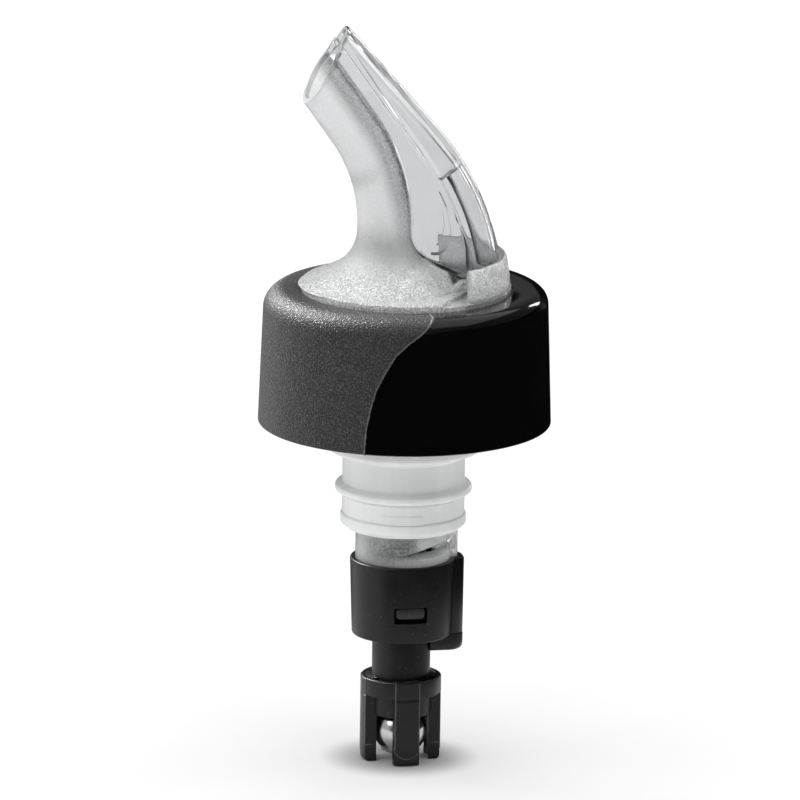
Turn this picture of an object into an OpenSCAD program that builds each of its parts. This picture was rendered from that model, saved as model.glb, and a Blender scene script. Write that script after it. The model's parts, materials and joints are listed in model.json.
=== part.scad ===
// Measured liquor pourer, standing upright on the tips of its ball cage.
// Lengths are in millimetres. +Z runs up the bottle's axis to the spout.
// The spout leans to -X, and its air passage runs up the +X side.

/* [Balls] */
// Diameter of the check ball held in the cage
check_ball_d = 8.73; // [8.2:0.01:9.1]
// Diameter of the cut-off ball that meters the pour
cutoff_ball_d = 7.14; // [6.8:0.01:7.4]
// Diameter of the small ball in the air passage
breather_ball_d = 3.18; // [2.9:0.01:3.4]

/* [Ball cage] */
// Number of prongs round the cage
prong_count = 4; // [3:1:5]
// Width of each prong
prong_w = 4.15; // [3.2:0.05:4.8]
// Length of the prongs below the ring
prong_len = 11.2; // [10.8:0.1:12.5]
// Height of the ring round the neck
cage_ring_h = 2.8; // [2.2:0.1:3.6]
// Wall of the ring and of the prongs
cage_wall = 1.38; // [1.1:0.01:1.7]
// Height of the hooks that hold the check ball
hook_h = 2; // [1.6:0.1:2.3]
// How far the hooks reach in from the prongs
hook_reach = 1.35; // [1:0.05:1.6]
// Width of each hook
hook_w = 2.8; // [2.2:0.1:3]
// One prong in how many carries a hook, counted from the front
hook_every = 2; // [1:1:2]
// Height of the set-back tip on the face of each prong
prong_tip_h = 2.4; // [1.6:0.1:3.2]
// Depth of the set-back tip
prong_tip_inset = 0.25; // [0.1:0.05:0.4]

/* [Metering tube] */
// Wall of the metering tube
neck_wall = 0.87; // [0.7:0.01:1.1]
// Length of neck that shows between the cage and the sleeve
neck_show = 7; // [6:0.1:8.5]
// Length of the thicker skirt round the check ball's seat
skirt_len = 4.8; // [4.2:0.1:5]
// How far the skirt goes up into the cage ring
skirt_cover = 1.3; // [1:0.1:1.8]
// Step from the neck out to the skirt
skirt_step = 0.38; // [0.3:0.01:0.55]
// Diameter of the timing orifice
orifice_d = 3.6; // [3:0.1:3.8]
// Length of the timing orifice
orifice_len = 0.8; // [0.6:0.1:1.2]
// Height of the cup flange inside the sleeve
cup_h = 5.9; // [5:0.1:6.6]
// Wall of the cup flange
cup_wall = 0.95; // [0.7:0.05:1.2]
// Length of the tube above the cup flange, up to the finger tips
guide_len = 10.4; // [9:0.1:11.4]
// Length of the guide fingers at the top of the tube
finger_len = 5.5; // [4:0.1:6.5]
// Width of the slots between the guide fingers
finger_slot_w = 4.4; // [3.6:0.1:4.8]

/* [Coupling sleeve] */
// Height of the sleeve
sleeve_h = 12.7; // [11.5:0.1:14]
// Outer diameter of the sleeve at its bottom
sleeve_low_d = 16.12; // [15.9:0.02:17.2]
// Wall of the sleeve round the stem, at its top
sleeve_wall = 0.8; // [0.6:0.05:1.1]
// Thickness of the sleeve's floor
sleeve_floor = 1.2; // [0.9:0.1:1.5]
// Inner diameter of the sleeve round the cup flange
sleeve_low_bore_d = 14; // [13.6:0.1:14.3]
// Width of each latch window
window_w = 5.4; // [4:0.1:6.2]
// Height of each latch window
window_h = 2.65; // [2:0.05:3]
// Height of the latch windows' middle above the sleeve's floor
window_rise = 3.5; // [3:0.1:3.9]
// How far the latch pads stand out of the cup flange
latch_out = 0.95; // [0.7:0.05:1.1]
// Wall of the lobe round the air passage
lobe_wall = 0.8; // [0.65:0.05:0.95]
// Height of the cap under the lobe
breather_cap_h = 2.9; // [2.6:0.1:3.6]
// Thickness of the cap's floor
breather_cap_floor = 1.1; // [0.8:0.1:1.4]
// Diameter of the air hole in the cap
air_hole_d = 1.8; // [1.2:0.1:2.2]
// Radius of the cap's lower edge
breather_cap_edge_r = 0.9; // [0.5:0.1:1]
// Wall of the rim that joins the cap to the lobe
cap_rim_wall = 0.35; // [0.25:0.05:0.4]
// Height of that rim
cap_rim_h = 1; // [0.6:0.1:1.4]

/* [Stem] */
// Outer diameter of the stem
stem_d = 15.3; // [15:0.05:15.8]
// Wall of the stem round the metering tube
stem_wall = 1.25; // [1:0.05:1.5]
// Depth of the stem's wide bore, from its lower end to the ball's seat
stem_bore_len = 13.9; // [13.4:0.1:15]
// Diameter of the cut-off ball's seat
seat_d = 6; // [5.4:0.1:6.4]
// Thickness of the wall that holds the seat
seat_len = 3; // [2:0.1:4]
// Diameter of the passage above the seat
chamber_d = 10; // [8:0.1:10.4]
// Offset of that passage towards the spout
chamber_shift = 1.4; // [1:0.1:1.9]
// Length of stem that shows between the sleeve and the stopper
stem_show = 5.2; // [4.8:0.1:6.5]
// Height of the inlet ports
port_h = 2.1; // [1.6:0.1:2.4]
// Height of the inlet ports' lower edge above the sleeve
port_rise = 1.5; // [1:0.1:2]
// Outer diameter of the air tube down the side of the stem
boss_d = 3.2; // [3:0.05:3.3]
// Bore of the air tube
boss_bore_d = 1.9; // [1.5:0.05:2.1]
// How far the air tube goes below the stem
boss_drop = 2.1; // [1.6:0.1:2.6]

/* [Stopper] */
// Diameter of the stopper's body
stopper_d = 19.8; // [19.4:0.1:20.8]
// Diameter of the bead at the stopper's lower end
bead_d = 20.3; // [19.9:0.1:21]
// Height of the bead
bead_h = 1.6; // [1:0.1:2.2]
// Height of the lead-in cone below the bead
lead_in_h = 0.7; // [0.4:0.1:1.2]
// Depth of the lead-in cone
lead_in = 0.95; // [0.5:0.05:1]
// Diameter of the sealing rib
rib_d = 22.1; // [21.2:0.1:23]
// Height of the sealing rib
rib_h = 2.2; // [1.6:0.1:3]
// Length of the flat land round the rib
rib_land = 0.8; // [0.6:0.1:1.2]
// Height of the rib's middle above the stopper's end
rib_rise = 6.55; // [5:0.1:8]
// Length of the plug, from its end to the flange
plug_len = 13; // [12:0.1:15]
// Diameter of the step under the flange
step_d = 20.8; // [20.4:0.1:21.6]
// Height of the step under the flange
step_h = 0.9; // [0.5:0.1:1.4]
// Diameter of the stopper's flange
stopper_flange_d = 25.6; // [23:0.1:29]
// Thickness of the stopper's flange
stopper_flange_t = 3.3; // [2.6:0.1:4]
// Radius of the flange's edges
stopper_edge_r = 0.8; // [0.4:0.1:1.2]

/* [Collar] */
// Diameter of the collar at its open end
collar_d = 47.6; // [44:0.1:52]
// Diameter of the collar just under its shoulder
collar_top_d = 46; // [43:0.1:50]
// Height of the collar
collar_h = 22.1; // [20:0.1:26]
// Radius of the collar's shoulder
shoulder_r = 3.5; // [2:0.1:4.2]
// Wall of the collar
collar_wall = 1.6; // [1.2:0.1:2]
// Height of the open end above the stopper's top
collar_lift = 1.1; // [0.6:0.1:2]
// Thickness of the plate under the spout
plate_t = 2; // [1.5:0.1:2.6]
// Depth of the recess that takes the spout's flange
recess_depth = 0.5; // [0.3:0.1:1]
// Wall of the hub round the stem
hub_wall = 2.8; // [2.2:0.1:3.4]

/* [Spout base] */
// Diameter of the spout's flange
spout_flange_d = 33.9; // [32:0.1:35]
// Thickness of the spout's flange
spout_flange_t = 1.6; // [1.2:0.1:2.2]
// Slope of the flare above the flange, in degrees
flare_slope = 28; // [24:1:32]
// Radius that blends the flare into the tube
flare_r = 7; // [5:0.1:8]
// Ledge of the flange left outside the flare and the cuff
rim_ledge = 0.15; // [0.1:0.05:0.5]
// Height of the cuff at the back, above the flange
cuff_h = 4.7; // [3.5:0.1:6]
// Wall of the cuff
cuff_wall = 1.5; // [1.1:0.1:2]
// How much the cuff leans in at its top
cuff_lean = 0.6; // [0.2:0.05:0.9]
// Half the arc of the cuff, in degrees
cuff_half_arc = 61; // [45:1:75]

/* [Spout] */
// Outer diameter of the spout's tube
spout_d = 9.6; // [9.2:0.1:10.2]
// Bore of the spout's tube
spout_bore_d = 7.4; // [6.8:0.1:7.6]
// Offset of the spout's tube from the bottle's axis
spout_shift = 3.25; // [2.8:0.05:3.6]
// Length of straight tube above the flange
spout_rise = 9.5; // [9:0.1:12]
// Radius of the spout's bend, at the tube's middle
spout_bend_r = 28.8; // [26:0.1:32]
// Angle of the spout's bend
spout_bend = 35; // [30:1:38]
// Length of straight tube past the bend
spout_tip_len = 10.6; // [8:0.1:13]
// Tilt of the mouth from level, in degrees
mouth_tilt = 60.3; // [56:0.1:64]
// Depth of the recess inside the mouth
mouth_recess = 0.5; // [0.3:0.1:0.9]
// Width of the lip round the mouth
mouth_lip = 0.6; // [0.4:0.05:0.8]
// Thickness of the flat body between the tube and the air ridge
web_w = 7.2; // [6:0.1:8]
// Diameter of the air ridge down the back
ridge_d = 5.2; // [4.8:0.1:5.6]
// Bore of the air ridge
ridge_bore_d = 3.4; // [2.8:0.1:3.6]
// Radius of the ridge's bend, at its middle
ridge_bend_r = 42.35; // [40:0.1:45]
// Lean of the ridge at its foot, in degrees
ridge_foot_lean = 5.5; // [4:0.1:8]
// Lean of the ridge at its top, in degrees
ridge_top_lean = 40.5; // [38:0.5:43]
// Distance of the ridge's foot from the bottle's axis
ridge_foot_x = 13.15; // [12.6:0.05:13.3]

/* [Hidden] */
$fn = 96;
// Clearance between pieces that fit together
fit_gap = 0.05;
// Clearance between a ball and what it rests on or stops at
rest_gap = 0.05;
// Gap round the spout's flange in the collar
recess_gap = 0.25;
// Overrun of every cut
cut_over = 1;
// Rise of the hooks' tops towards the prongs, as a share of the run
hook_rise_share = 0.33;
// Step and lap where a bent stretch runs into a straight one
join_step = 0.04;
join_lap = 0.5;
// Lap of the mouth's recess with the bent stretch of the air ridge, in degrees
bend_lap = 1;
// Play between the check ball and the prongs, and between it and the skirt
cage_play = 0.38;
skirt_play = 0.13;
// Play between the cut-off ball and its tube, and the small ball and its passage
cutoff_play = 0.28;
breather_play = 0.2;

// Radii of the balls
check_r = check_ball_d / 2;
cutoff_r = cutoff_ball_d / 2;
air_ball_r = breather_ball_d / 2;

// Metering tube
tube_bore_r = cutoff_r + cutoff_play;
neck_r = tube_bore_r + neck_wall;
skirt_r = neck_r + skirt_step;
skirt_bore_r = check_r + skirt_play;
skirt_top_z = prong_len + skirt_cover;
skirt_z = skirt_top_z - skirt_len;
orifice_r = orifice_d / 2;
orifice_z = skirt_top_z - orifice_len;
seat_cone_h = skirt_bore_r - orifice_r;
ledge_h = tube_bore_r - orifice_r;

// Ball cage
cage_bore_r = skirt_r + fit_gap;
cage_r = cage_bore_r + cage_wall;
prong_bore_r = check_r + cage_play;
hook_bore_r = prong_bore_r - hook_reach;
hook_root_r = prong_bore_r + cage_wall / 2;
hook_root_h = hook_h + (hook_root_r - hook_bore_r) * hook_rise_share;
cage_lip_r = neck_r + skirt_step / 2;
cage_top_z = prong_len + cage_ring_h;

// Coupling sleeve
sleeve_z = cage_top_z + neck_show;
sleeve_top_z = sleeve_z + sleeve_h;
cup_z = sleeve_z + sleeve_floor;
stem_z = cup_z + cup_h;
sleeve_low_bore_r = sleeve_low_bore_d / 2;
cup_r = sleeve_low_bore_r - fit_gap;
window_z = cup_z + window_rise;
guide_top_z = stem_z + guide_len;

// Stem
stem_r = stem_d / 2;
stem_hole_r = stem_r + fit_gap;
sleeve_top_r = stem_hole_r + sleeve_wall;
seat_z = stem_z + stem_bore_len;
seat_r = seat_d / 2;
chamber_z = seat_z + seat_len;
boss_r = boss_d / 2;
boss_hole_r = boss_r + fit_gap;
boss_z = stem_z - boss_drop;
port_z = sleeve_top_z + port_rise;
// Reach of the ports to the spout's side and to the air tube's side, as shares of the stem's
// radius, and the start of their cut beside the air tube, as a share of the air tube
port_left_share = 0.31;
port_right_share = 0.94;
port_middle_share = 0.7;

// Air passage beside the neck
air_bore_r = air_ball_r + breather_play;
lobe_r = air_bore_r + lobe_wall;
breather_x = neck_r + lobe_r + 2 * fit_gap;
breather_cap_z = sleeve_z - breather_cap_h;
cap_floor_z = breather_cap_z + breather_cap_floor;

// Stopper
stopper_z = sleeve_top_z + stem_show;
flange_under_z = stopper_z + plug_len;
stopper_top_z = flange_under_z + stopper_flange_t;
rib_z = stopper_z + rib_rise;

// Collar
collar_z = stopper_top_z + collar_lift;
collar_top_z = collar_z + collar_h;
recess_z = collar_top_z - recess_depth;
plate_z = recess_z - plate_t;

// Spout base
spout_flange_r = spout_flange_d / 2;
spout_z = recess_z + spout_flange_t;
spout_low_z = spout_z - spout_flange_t / 2;
spout_r = spout_d / 2;
flare_foot_r = spout_flange_r - spout_shift - rim_ledge;
flare_corner_h = (flare_foot_r - spout_r) * tan(flare_slope);
flare_tangent = flare_r * tan((90 - flare_slope) / 2);
flare_top_h = flare_corner_h + flare_tangent;

// Spout, in the plane of its bend
bend_z = spout_z + spout_rise;
bend_centre_x = -spout_shift - spout_bend_r;
tip_x = bend_centre_x + spout_bend_r * cos(spout_bend);
tip_z = bend_z + spout_bend_r * sin(spout_bend);
mouth_x = tip_x - spout_tip_len * sin(spout_bend);
mouth_z = tip_z + spout_tip_len * cos(spout_bend);

// Air ridge, about the centre of its bend
ridge_r = ridge_d / 2;
ridge_centre_x = ridge_foot_x - ridge_bend_r * cos(ridge_foot_lean);
ridge_centre_z = spout_z - ridge_bend_r * sin(ridge_foot_lean);
ridge_low_lean = asin((spout_low_z - ridge_centre_z) / ridge_bend_r);
// Length of straight ridge, up to where the mouth's slope meets the ridge's back
ridge_top_len = cut_over + (
    (ridge_centre_x + (ridge_bend_r + ridge_r) * cos(ridge_top_lean) - mouth_x) * sin(mouth_tilt)
    - (ridge_centre_z + (ridge_bend_r + ridge_r) * sin(ridge_top_lean) - mouth_z) * cos(mouth_tilt)
) / cos(mouth_tilt - ridge_top_lean);
crossover_z = spout_z + boss_bore_d / 2 - fit_gap;

// Rest heights of the three balls, for a ball of radius r on a 45 degree cone or on the edge
// of a hole of radius h
function cone_reach(r) = r * sqrt(2);
function edge_reach(r, h) = sqrt(r * r - h * h);
check_rest_z = hook_h + edge_reach(check_r, hook_bore_r) + rest_gap;
cutoff_rest_z = skirt_top_z - orifice_r + cone_reach(cutoff_r) + rest_gap;
air_rest_z = cap_floor_z + edge_reach(air_ball_r, air_hole_d / 2) + rest_gap;

// An outline from x0 to x1 and from z0 to z1 whose outer corners are rounded by r
module rounded_rim(x0, x1, z0, z1, r) {
    translate([x0, z0]) square([x1 - x0 - r, z1 - z0]);
    translate([x0, z0 + r]) square([x1 - x0, z1 - z0 - 2 * r]);
    translate([x1 - r, z0 + r]) circle(r = r);
    translate([x1 - r, z1 - r]) circle(r = r);
}

// A tube or rod that bends round the Y axis, from one lean to another
module bent_rod(bend_r, rod_r, from_lean, to_lean) {
    rotate([90, -from_lean, 0])
        rotate_extrude(angle = to_lean - from_lean)
            translate([bend_r, 0]) circle(r = rod_r);
}

// The path of the spout's tube, from the flange to past the mouth
module spout_path(rod_r, low_z) {
    translate([-spout_shift, 0, low_z]) cylinder(r = rod_r, h = bend_z - low_z);
    translate([bend_centre_x, 0, bend_z]) bent_rod(spout_bend_r, rod_r, 0, spout_bend);
    translate([tip_x, 0, tip_z])
        rotate([0, -spout_bend, 0])
            translate([0, 0, -join_lap])
                cylinder(r = rod_r - join_step, h = spout_tip_len + spout_d);
}

// The path of the air ridge's bore, from a lean to past the mouth
module ridge_path(rod_r, from_lean) {
    translate([ridge_centre_x, 0, ridge_centre_z]) {
        bent_rod(ridge_bend_r, rod_r, from_lean, ridge_top_lean);
        rotate([0, -ridge_top_lean, 0])
            translate([ridge_bend_r, 0, -join_lap])
                cylinder(r = rod_r - join_step, h = ridge_top_len + join_lap);
    }
}

// The air ridge: straight sides rooted in the body, and a round back
module ridge() {
    translate([ridge_centre_x, 0, ridge_centre_z]) {
        rotate([90, -ridge_low_lean, 0])
            rotate_extrude(angle = ridge_top_lean - ridge_low_lean)
                translate([ridge_bend_r, 0]) ridge_section(ridge_r);
        rotate([0, -ridge_top_lean, 0])
            translate([ridge_bend_r, 0, -join_lap])
                linear_extrude(height = ridge_top_len + join_lap)
                    ridge_section(ridge_r - join_step);
    }
}

module ridge_section(r) {
    circle(r = r);
    translate([-ridge_d, -r]) square([ridge_d, 2 * r]);
}

// The flat body, from inside the tube to the foot of the ridge
module flat_body() {
    front_x = ridge_r / 2;
    past_x = mouth_x + front_x - spout_d * sin(spout_bend);
    past_z = mouth_z + spout_d * cos(spout_bend);
    translate([0, web_w / 2, 0])
        rotate([90, 0, 0])
            linear_extrude(height = web_w)
                intersection() {
                    translate([ridge_centre_x, ridge_centre_z]) {
                        circle(r = ridge_bend_r - ridge_r);
                        rotate(ridge_top_lean)
                            square([ridge_bend_r - ridge_r - join_step, ridge_top_len]);
                    }
                    polygon([
                        [front_x - spout_shift, spout_low_z],
                        [front_x - spout_shift, bend_z],
                        [front_x + tip_x, tip_z],
                        [past_x, past_z],
                        [spout_flange_r, past_z],
                        [spout_flange_r, spout_low_z]
                    ]);
                }
}

// Everything past the mouth's sloping face, moved in by a depth
module past_mouth(depth) {
    translate([mouth_x, 0, mouth_z])
        rotate([0, -mouth_tilt, 0])
            translate([-collar_d, -collar_d, -depth])
                cube([2 * collar_d, 2 * collar_d, collar_d]);
}

// The ring of the spout's flare, blended into the tube above it
module flare() {
    translate([-spout_shift, 0, spout_z])
        rotate_extrude()
            difference() {
                polygon([
                    [0, 0],
                    [flare_foot_r, 0],
                    [spout_r, flare_corner_h],
                    [spout_r + flare_tangent * cos(flare_slope),
                        flare_corner_h - flare_tangent * sin(flare_slope)],
                    [spout_r + flare_tangent * cos(flare_slope), flare_top_h],
                    [spout_r, flare_top_h],
                    [0, flare_top_h]
                ]);
                translate([spout_r + flare_r, flare_top_h]) circle(r = flare_r);
            }
}

// The upright wall round the back of the flange
module cuff() {
    cuff_r = spout_flange_r - rim_ledge;
    translate([0, 0, spout_z])
        rotate([0, 0, -cuff_half_arc])
            rotate_extrude(angle = 2 * cuff_half_arc)
                polygon([
                    [cuff_r - cuff_wall, -spout_flange_t / 2],
                    [cuff_r, -spout_flange_t / 2],
                    [cuff_r, 0],
                    [cuff_r - cuff_lean, cuff_h],
                    [cuff_r - cuff_wall, cuff_h]
                ]);
}

// The long inlet ports in the stem's front and back, clear of the air tube
module inlet_ports() {
    port_left = stem_r * port_left_share;
    port_right = stem_r * port_right_share;
    for (side = [0, 1]) mirror([0, side, 0])
        translate([0, -boss_d * port_middle_share, port_z])
            rotate([90, 0, 0])
                linear_extrude(height = stem_r)
                    polygon([
                        [-port_left, 0],
                        [port_right, 0],
                        [port_right, port_h],
                        [port_left, port_h]
                    ]);
}

module pour_spout() {
    color([0.86, 0.88, 0.9, 0.6])
    difference() {
        union() {
            translate([0, 0, stem_z]) cylinder(r = stem_r, h = spout_z - stem_z);
            translate([breather_x, 0, boss_z]) cylinder(r = boss_r, h = spout_z - boss_z);
            translate([0, 0, recess_z]) cylinder(r = spout_flange_r, h = spout_flange_t);
            flare();
            cuff();
            spout_path(spout_r, spout_low_z);
            flat_body();
            ridge();
        }
        past_mouth(0);
        translate([0, 0, stem_z - cut_over])
            cylinder(r = stem_r - stem_wall, h = stem_bore_len + cut_over);
        translate([0, 0, seat_z - cut_over]) cylinder(r = seat_r, h = seat_len + 2 * cut_over);
        translate([-chamber_shift, 0, chamber_z])
            cylinder(r = chamber_d / 2, h = recess_z - chamber_z);
        spout_path(spout_bore_d / 2, recess_z - cut_over);
        ridge_path(ridge_bore_d / 2, ridge_foot_lean);
        translate([breather_x, 0, boss_z - cut_over])
            cylinder(r = boss_bore_d / 2, h = crossover_z - boss_z + cut_over);
        translate([breather_x, 0, crossover_z])
            rotate([0, 90, 0])
                cylinder(r = boss_bore_d / 2, h = ridge_foot_x - breather_x);
        inlet_ports();
        intersection() {
            past_mouth(mouth_recess);
            union() {
                spout_path(spout_r - mouth_lip, bend_z);
                ridge_path(ridge_r - mouth_lip, ridge_top_lean - bend_lap);
            }
        }
    }
}

module collar() {
    low_r = collar_d / 2;
    top_r = collar_top_d / 2;
    color([0.12, 0.12, 0.13])
    difference() {
        union() {
            difference() {
                rotate_extrude()
                    union() {
                        polygon([
                            [0, collar_z],
                            [low_r, collar_z],
                            [top_r, collar_top_z - shoulder_r],
                            [top_r - shoulder_r, collar_top_z - shoulder_r],
                            [top_r - shoulder_r, collar_top_z],
                            [0, collar_top_z]
                        ]);
                        translate([top_r - shoulder_r, collar_top_z - shoulder_r])
                            circle(r = shoulder_r);
                    }
                rotate_extrude()
                    polygon([
                        [0, collar_z - cut_over],
                        [low_r - collar_wall, collar_z - cut_over],
                        [low_r - collar_wall, collar_z],
                        [top_r - collar_wall, plate_z - shoulder_r],
                        [top_r - shoulder_r, plate_z],
                        [0, plate_z]
                    ]);
            }
            translate([0, 0, stopper_top_z])
                cylinder(r = stem_hole_r + hub_wall, h = recess_z - stopper_top_z);
        }
        translate([0, 0, recess_z])
            cylinder(r = spout_flange_r + recess_gap, h = recess_depth + cut_over);
        translate([0, 0, stopper_top_z - cut_over])
            cylinder(r = stem_hole_r, h = collar_h + collar_lift + 2 * cut_over);
        translate([breather_x, 0, stopper_top_z - cut_over])
            cylinder(r = boss_hole_r, h = collar_h + collar_lift + 2 * cut_over);
    }
}

module stopper() {
    plug_r = stopper_d / 2;
    bead_r = bead_d / 2;
    bead_z = stopper_z + lead_in_h;
    edge = (rib_h - rib_land) / 2;
    color([0.9, 0.9, 0.89])
    difference() {
        rotate_extrude() {
            polygon([
                [0, stopper_z],
                [bead_r - lead_in, stopper_z],
                [bead_r, bead_z],
                [bead_r, bead_z + bead_h],
                [plug_r, bead_z + bead_h + bead_r - plug_r],
                [plug_r, flange_under_z - step_h],
                [step_d / 2, flange_under_z],
                [step_d / 2, flange_under_z + stopper_flange_t / 2],
                [0, flange_under_z + stopper_flange_t / 2]
            ]);
            rounded_rim(0, rib_d / 2, rib_z - rib_h / 2, rib_z + rib_h / 2, edge);
            rounded_rim(0, stopper_flange_d / 2, flange_under_z, stopper_top_z, stopper_edge_r);
        }
        translate([0, 0, stopper_z - cut_over])
            cylinder(r = stem_hole_r, h = stopper_top_z - stopper_z + 2 * cut_over);
        translate([breather_x, 0, stopper_z - cut_over])
            cylinder(r = boss_hole_r, h = stopper_top_z - stopper_z + 2 * cut_over);
    }
}

module coupling_sleeve() {
    color([0.16, 0.16, 0.17])
    difference() {
        union() {
            translate([0, 0, sleeve_z])
                cylinder(r1 = sleeve_low_d / 2, r2 = sleeve_top_r, h = sleeve_h);
            translate([breather_x, 0, sleeve_z]) cylinder(r = lobe_r, h = sleeve_h);
        }
        translate([0, 0, sleeve_z - cut_over])
            cylinder(r = neck_r + fit_gap, h = sleeve_floor + 2 * cut_over);
        difference() {
            translate([0, 0, cup_z]) cylinder(r = sleeve_low_bore_r, h = cup_h);
            translate([breather_x, 0, cup_z]) cylinder(r = lobe_r, h = cup_h);
        }
        translate([0, 0, stem_z]) cylinder(r = stem_hole_r, h = sleeve_h);
        translate([breather_x, 0, sleeve_z - cut_over])
            cylinder(r = air_bore_r, h = boss_z - sleeve_z + cut_over);
        translate([breather_x, 0, boss_z]) cylinder(r = boss_hole_r, h = sleeve_h);
        translate([breather_x, 0, sleeve_z - cut_over])
            cylinder(r = air_bore_r + cap_rim_wall + fit_gap, h = cap_rim_h + fit_gap + cut_over);
        translate([-window_w / 2, -sleeve_low_d, window_z - window_h / 2])
            cube([window_w, 2 * sleeve_low_d, window_h]);
    }
}

module metering_tube() {
    color([0.14, 0.14, 0.15])
    difference() {
        union() {
            translate([0, 0, skirt_z]) cylinder(r = skirt_r, h = skirt_len);
            translate([0, 0, skirt_z]) cylinder(r = neck_r, h = guide_top_z - skirt_z);
            difference() {
                union() {
                    difference() {
                        translate([0, 0, cup_z]) cylinder(r = cup_r, h = cup_h);
                        translate([0, 0, cup_z + sleeve_floor])
                            cylinder(r = cup_r - cup_wall, h = cup_h);
                    }
                    for (side = [0, 1]) mirror([0, side, 0])
                        translate([
                            fit_gap - window_w / 2,
                            -cup_r - latch_out,
                            window_z + fit_gap - window_h / 2
                        ])
                            cube([window_w - 2 * fit_gap, latch_out + cup_wall,
                                window_h - 2 * fit_gap]);
                }
                translate([breather_x, 0, cup_z - cut_over])
                    cylinder(r = lobe_r + fit_gap, h = cup_h + 2 * cut_over);
            }
        }
        rotate_extrude()
            polygon([
                [0, skirt_z - cut_over],
                [skirt_bore_r, skirt_z - cut_over],
                [skirt_bore_r, orifice_z - seat_cone_h],
                [orifice_r, orifice_z],
                [orifice_r, skirt_top_z],
                [tube_bore_r, skirt_top_z + ledge_h],
                [tube_bore_r, guide_top_z + cut_over],
                [0, guide_top_z + cut_over]
            ]);
        for (turn = [45, 135])
            rotate([0, 0, turn])
                translate([-finger_slot_w / 2, -stem_d, guide_top_z - finger_len])
                    cube([finger_slot_w, 2 * stem_d, finger_len + cut_over]);
    }
}

// Upright bars from the axis through every so many prongs, counted from the front
module prong_bars(width, every) {
    for (i = [0 : every : prong_count - 1])
        rotate([0, 0, i * 360 / prong_count - 90])
            translate([0, -width / 2, -cut_over])
                cube([cage_r + cut_over, width, prong_len + 2 * cut_over]);
}

module ball_cage() {
    tip_r = cage_r - prong_tip_inset;
    color([0.18, 0.18, 0.19]) {
        intersection() {
            rotate_extrude()
                polygon([
                    [prong_bore_r, 0],
                    [tip_r, 0],
                    [tip_r, prong_tip_h],
                    [cage_r, prong_tip_h + prong_tip_inset],
                    [cage_r, cage_top_z],
                    [cage_lip_r, cage_top_z],
                    [cage_lip_r, skirt_top_z],
                    [cage_bore_r, skirt_top_z],
                    [cage_bore_r, skirt_z],
                    [prong_bore_r, skirt_z]
                ]);
            union() {
                translate([0, 0, prong_len])
                    cylinder(r = cage_r + cut_over, h = cage_ring_h + cut_over);
                prong_bars(prong_w, 1);
            }
        }
        intersection() {
            rotate_extrude()
                polygon([
                    [hook_bore_r, 0],
                    [hook_root_r, 0],
                    [hook_root_r, hook_root_h],
                    [hook_bore_r, hook_h]
                ]);
            prong_bars(hook_w, hook_every);
        }
    }
}

module breather_cap() {
    rim_r = air_bore_r + cap_rim_wall;
    color([0.16, 0.16, 0.17])
    translate([breather_x, 0, 0])
        rotate_extrude()
            difference() {
                union() {
                    translate([0, breather_cap_z])
                        square([lobe_r - breather_cap_edge_r, breather_cap_h]);
                    translate([0, breather_cap_z + breather_cap_edge_r])
                        square([lobe_r, breather_cap_h - breather_cap_edge_r]);
                    translate([lobe_r - breather_cap_edge_r, breather_cap_z + breather_cap_edge_r])
                        circle(r = breather_cap_edge_r);
                    translate([0, cap_floor_z])
                        square([rim_r, sleeve_z + cap_rim_h - cap_floor_z]);
                }
                translate([-lobe_r, cap_floor_z])
                    square([lobe_r + air_bore_r, breather_cap_h + cap_rim_h]);
                translate([-lobe_r, breather_cap_z - cut_over])
                    square([lobe_r + air_hole_d / 2, breather_cap_h]);
            }
}

module check_ball() {
    color([0.78, 0.79, 0.8]) translate([0, 0, check_rest_z]) sphere(r = check_r);
}

module cutoff_ball() {
    color([0.78, 0.79, 0.8]) translate([0, 0, cutoff_rest_z]) sphere(r = cutoff_r);
}

module breather_ball() {
    color([0.78, 0.79, 0.8]) translate([breather_x, 0, air_rest_z]) sphere(r = air_ball_r);
}

pour_spout();
collar();
stopper();
coupling_sleeve();
metering_tube();
ball_cage();
breather_cap();
check_ball();
cutoff_ball();
breather_ball();
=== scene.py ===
import json
import math

import bmesh
import bpy
import numpy as np
from mathutils import Matrix, Vector
from mathutils.bvhtree import BVHTree

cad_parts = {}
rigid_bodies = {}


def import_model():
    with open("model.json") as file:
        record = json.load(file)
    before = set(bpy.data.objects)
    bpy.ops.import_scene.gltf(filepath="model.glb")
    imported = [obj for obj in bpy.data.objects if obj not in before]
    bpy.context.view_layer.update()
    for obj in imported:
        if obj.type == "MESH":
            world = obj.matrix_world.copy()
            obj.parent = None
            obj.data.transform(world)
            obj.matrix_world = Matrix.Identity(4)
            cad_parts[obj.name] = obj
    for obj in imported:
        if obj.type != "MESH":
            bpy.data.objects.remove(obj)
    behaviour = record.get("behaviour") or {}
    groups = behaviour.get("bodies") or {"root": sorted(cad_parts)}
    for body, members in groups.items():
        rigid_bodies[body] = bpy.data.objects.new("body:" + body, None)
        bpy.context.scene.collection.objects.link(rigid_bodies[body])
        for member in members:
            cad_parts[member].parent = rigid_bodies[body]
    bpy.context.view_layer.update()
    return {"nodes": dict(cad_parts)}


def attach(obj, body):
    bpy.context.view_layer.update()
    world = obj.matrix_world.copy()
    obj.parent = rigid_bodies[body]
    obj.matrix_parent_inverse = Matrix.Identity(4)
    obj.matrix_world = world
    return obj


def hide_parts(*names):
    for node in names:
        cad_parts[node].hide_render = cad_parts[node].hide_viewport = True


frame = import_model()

# Lengths are written in millimetres and put into the meshes in metres.
MM = 0.001
# Points nearer to each other than this are one point.
SEAM = 0.0005
# Axis of the air passage, which runs beside the metering tube, as (x, y).
AIR_AXIS = (7.41, 0.0)
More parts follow.
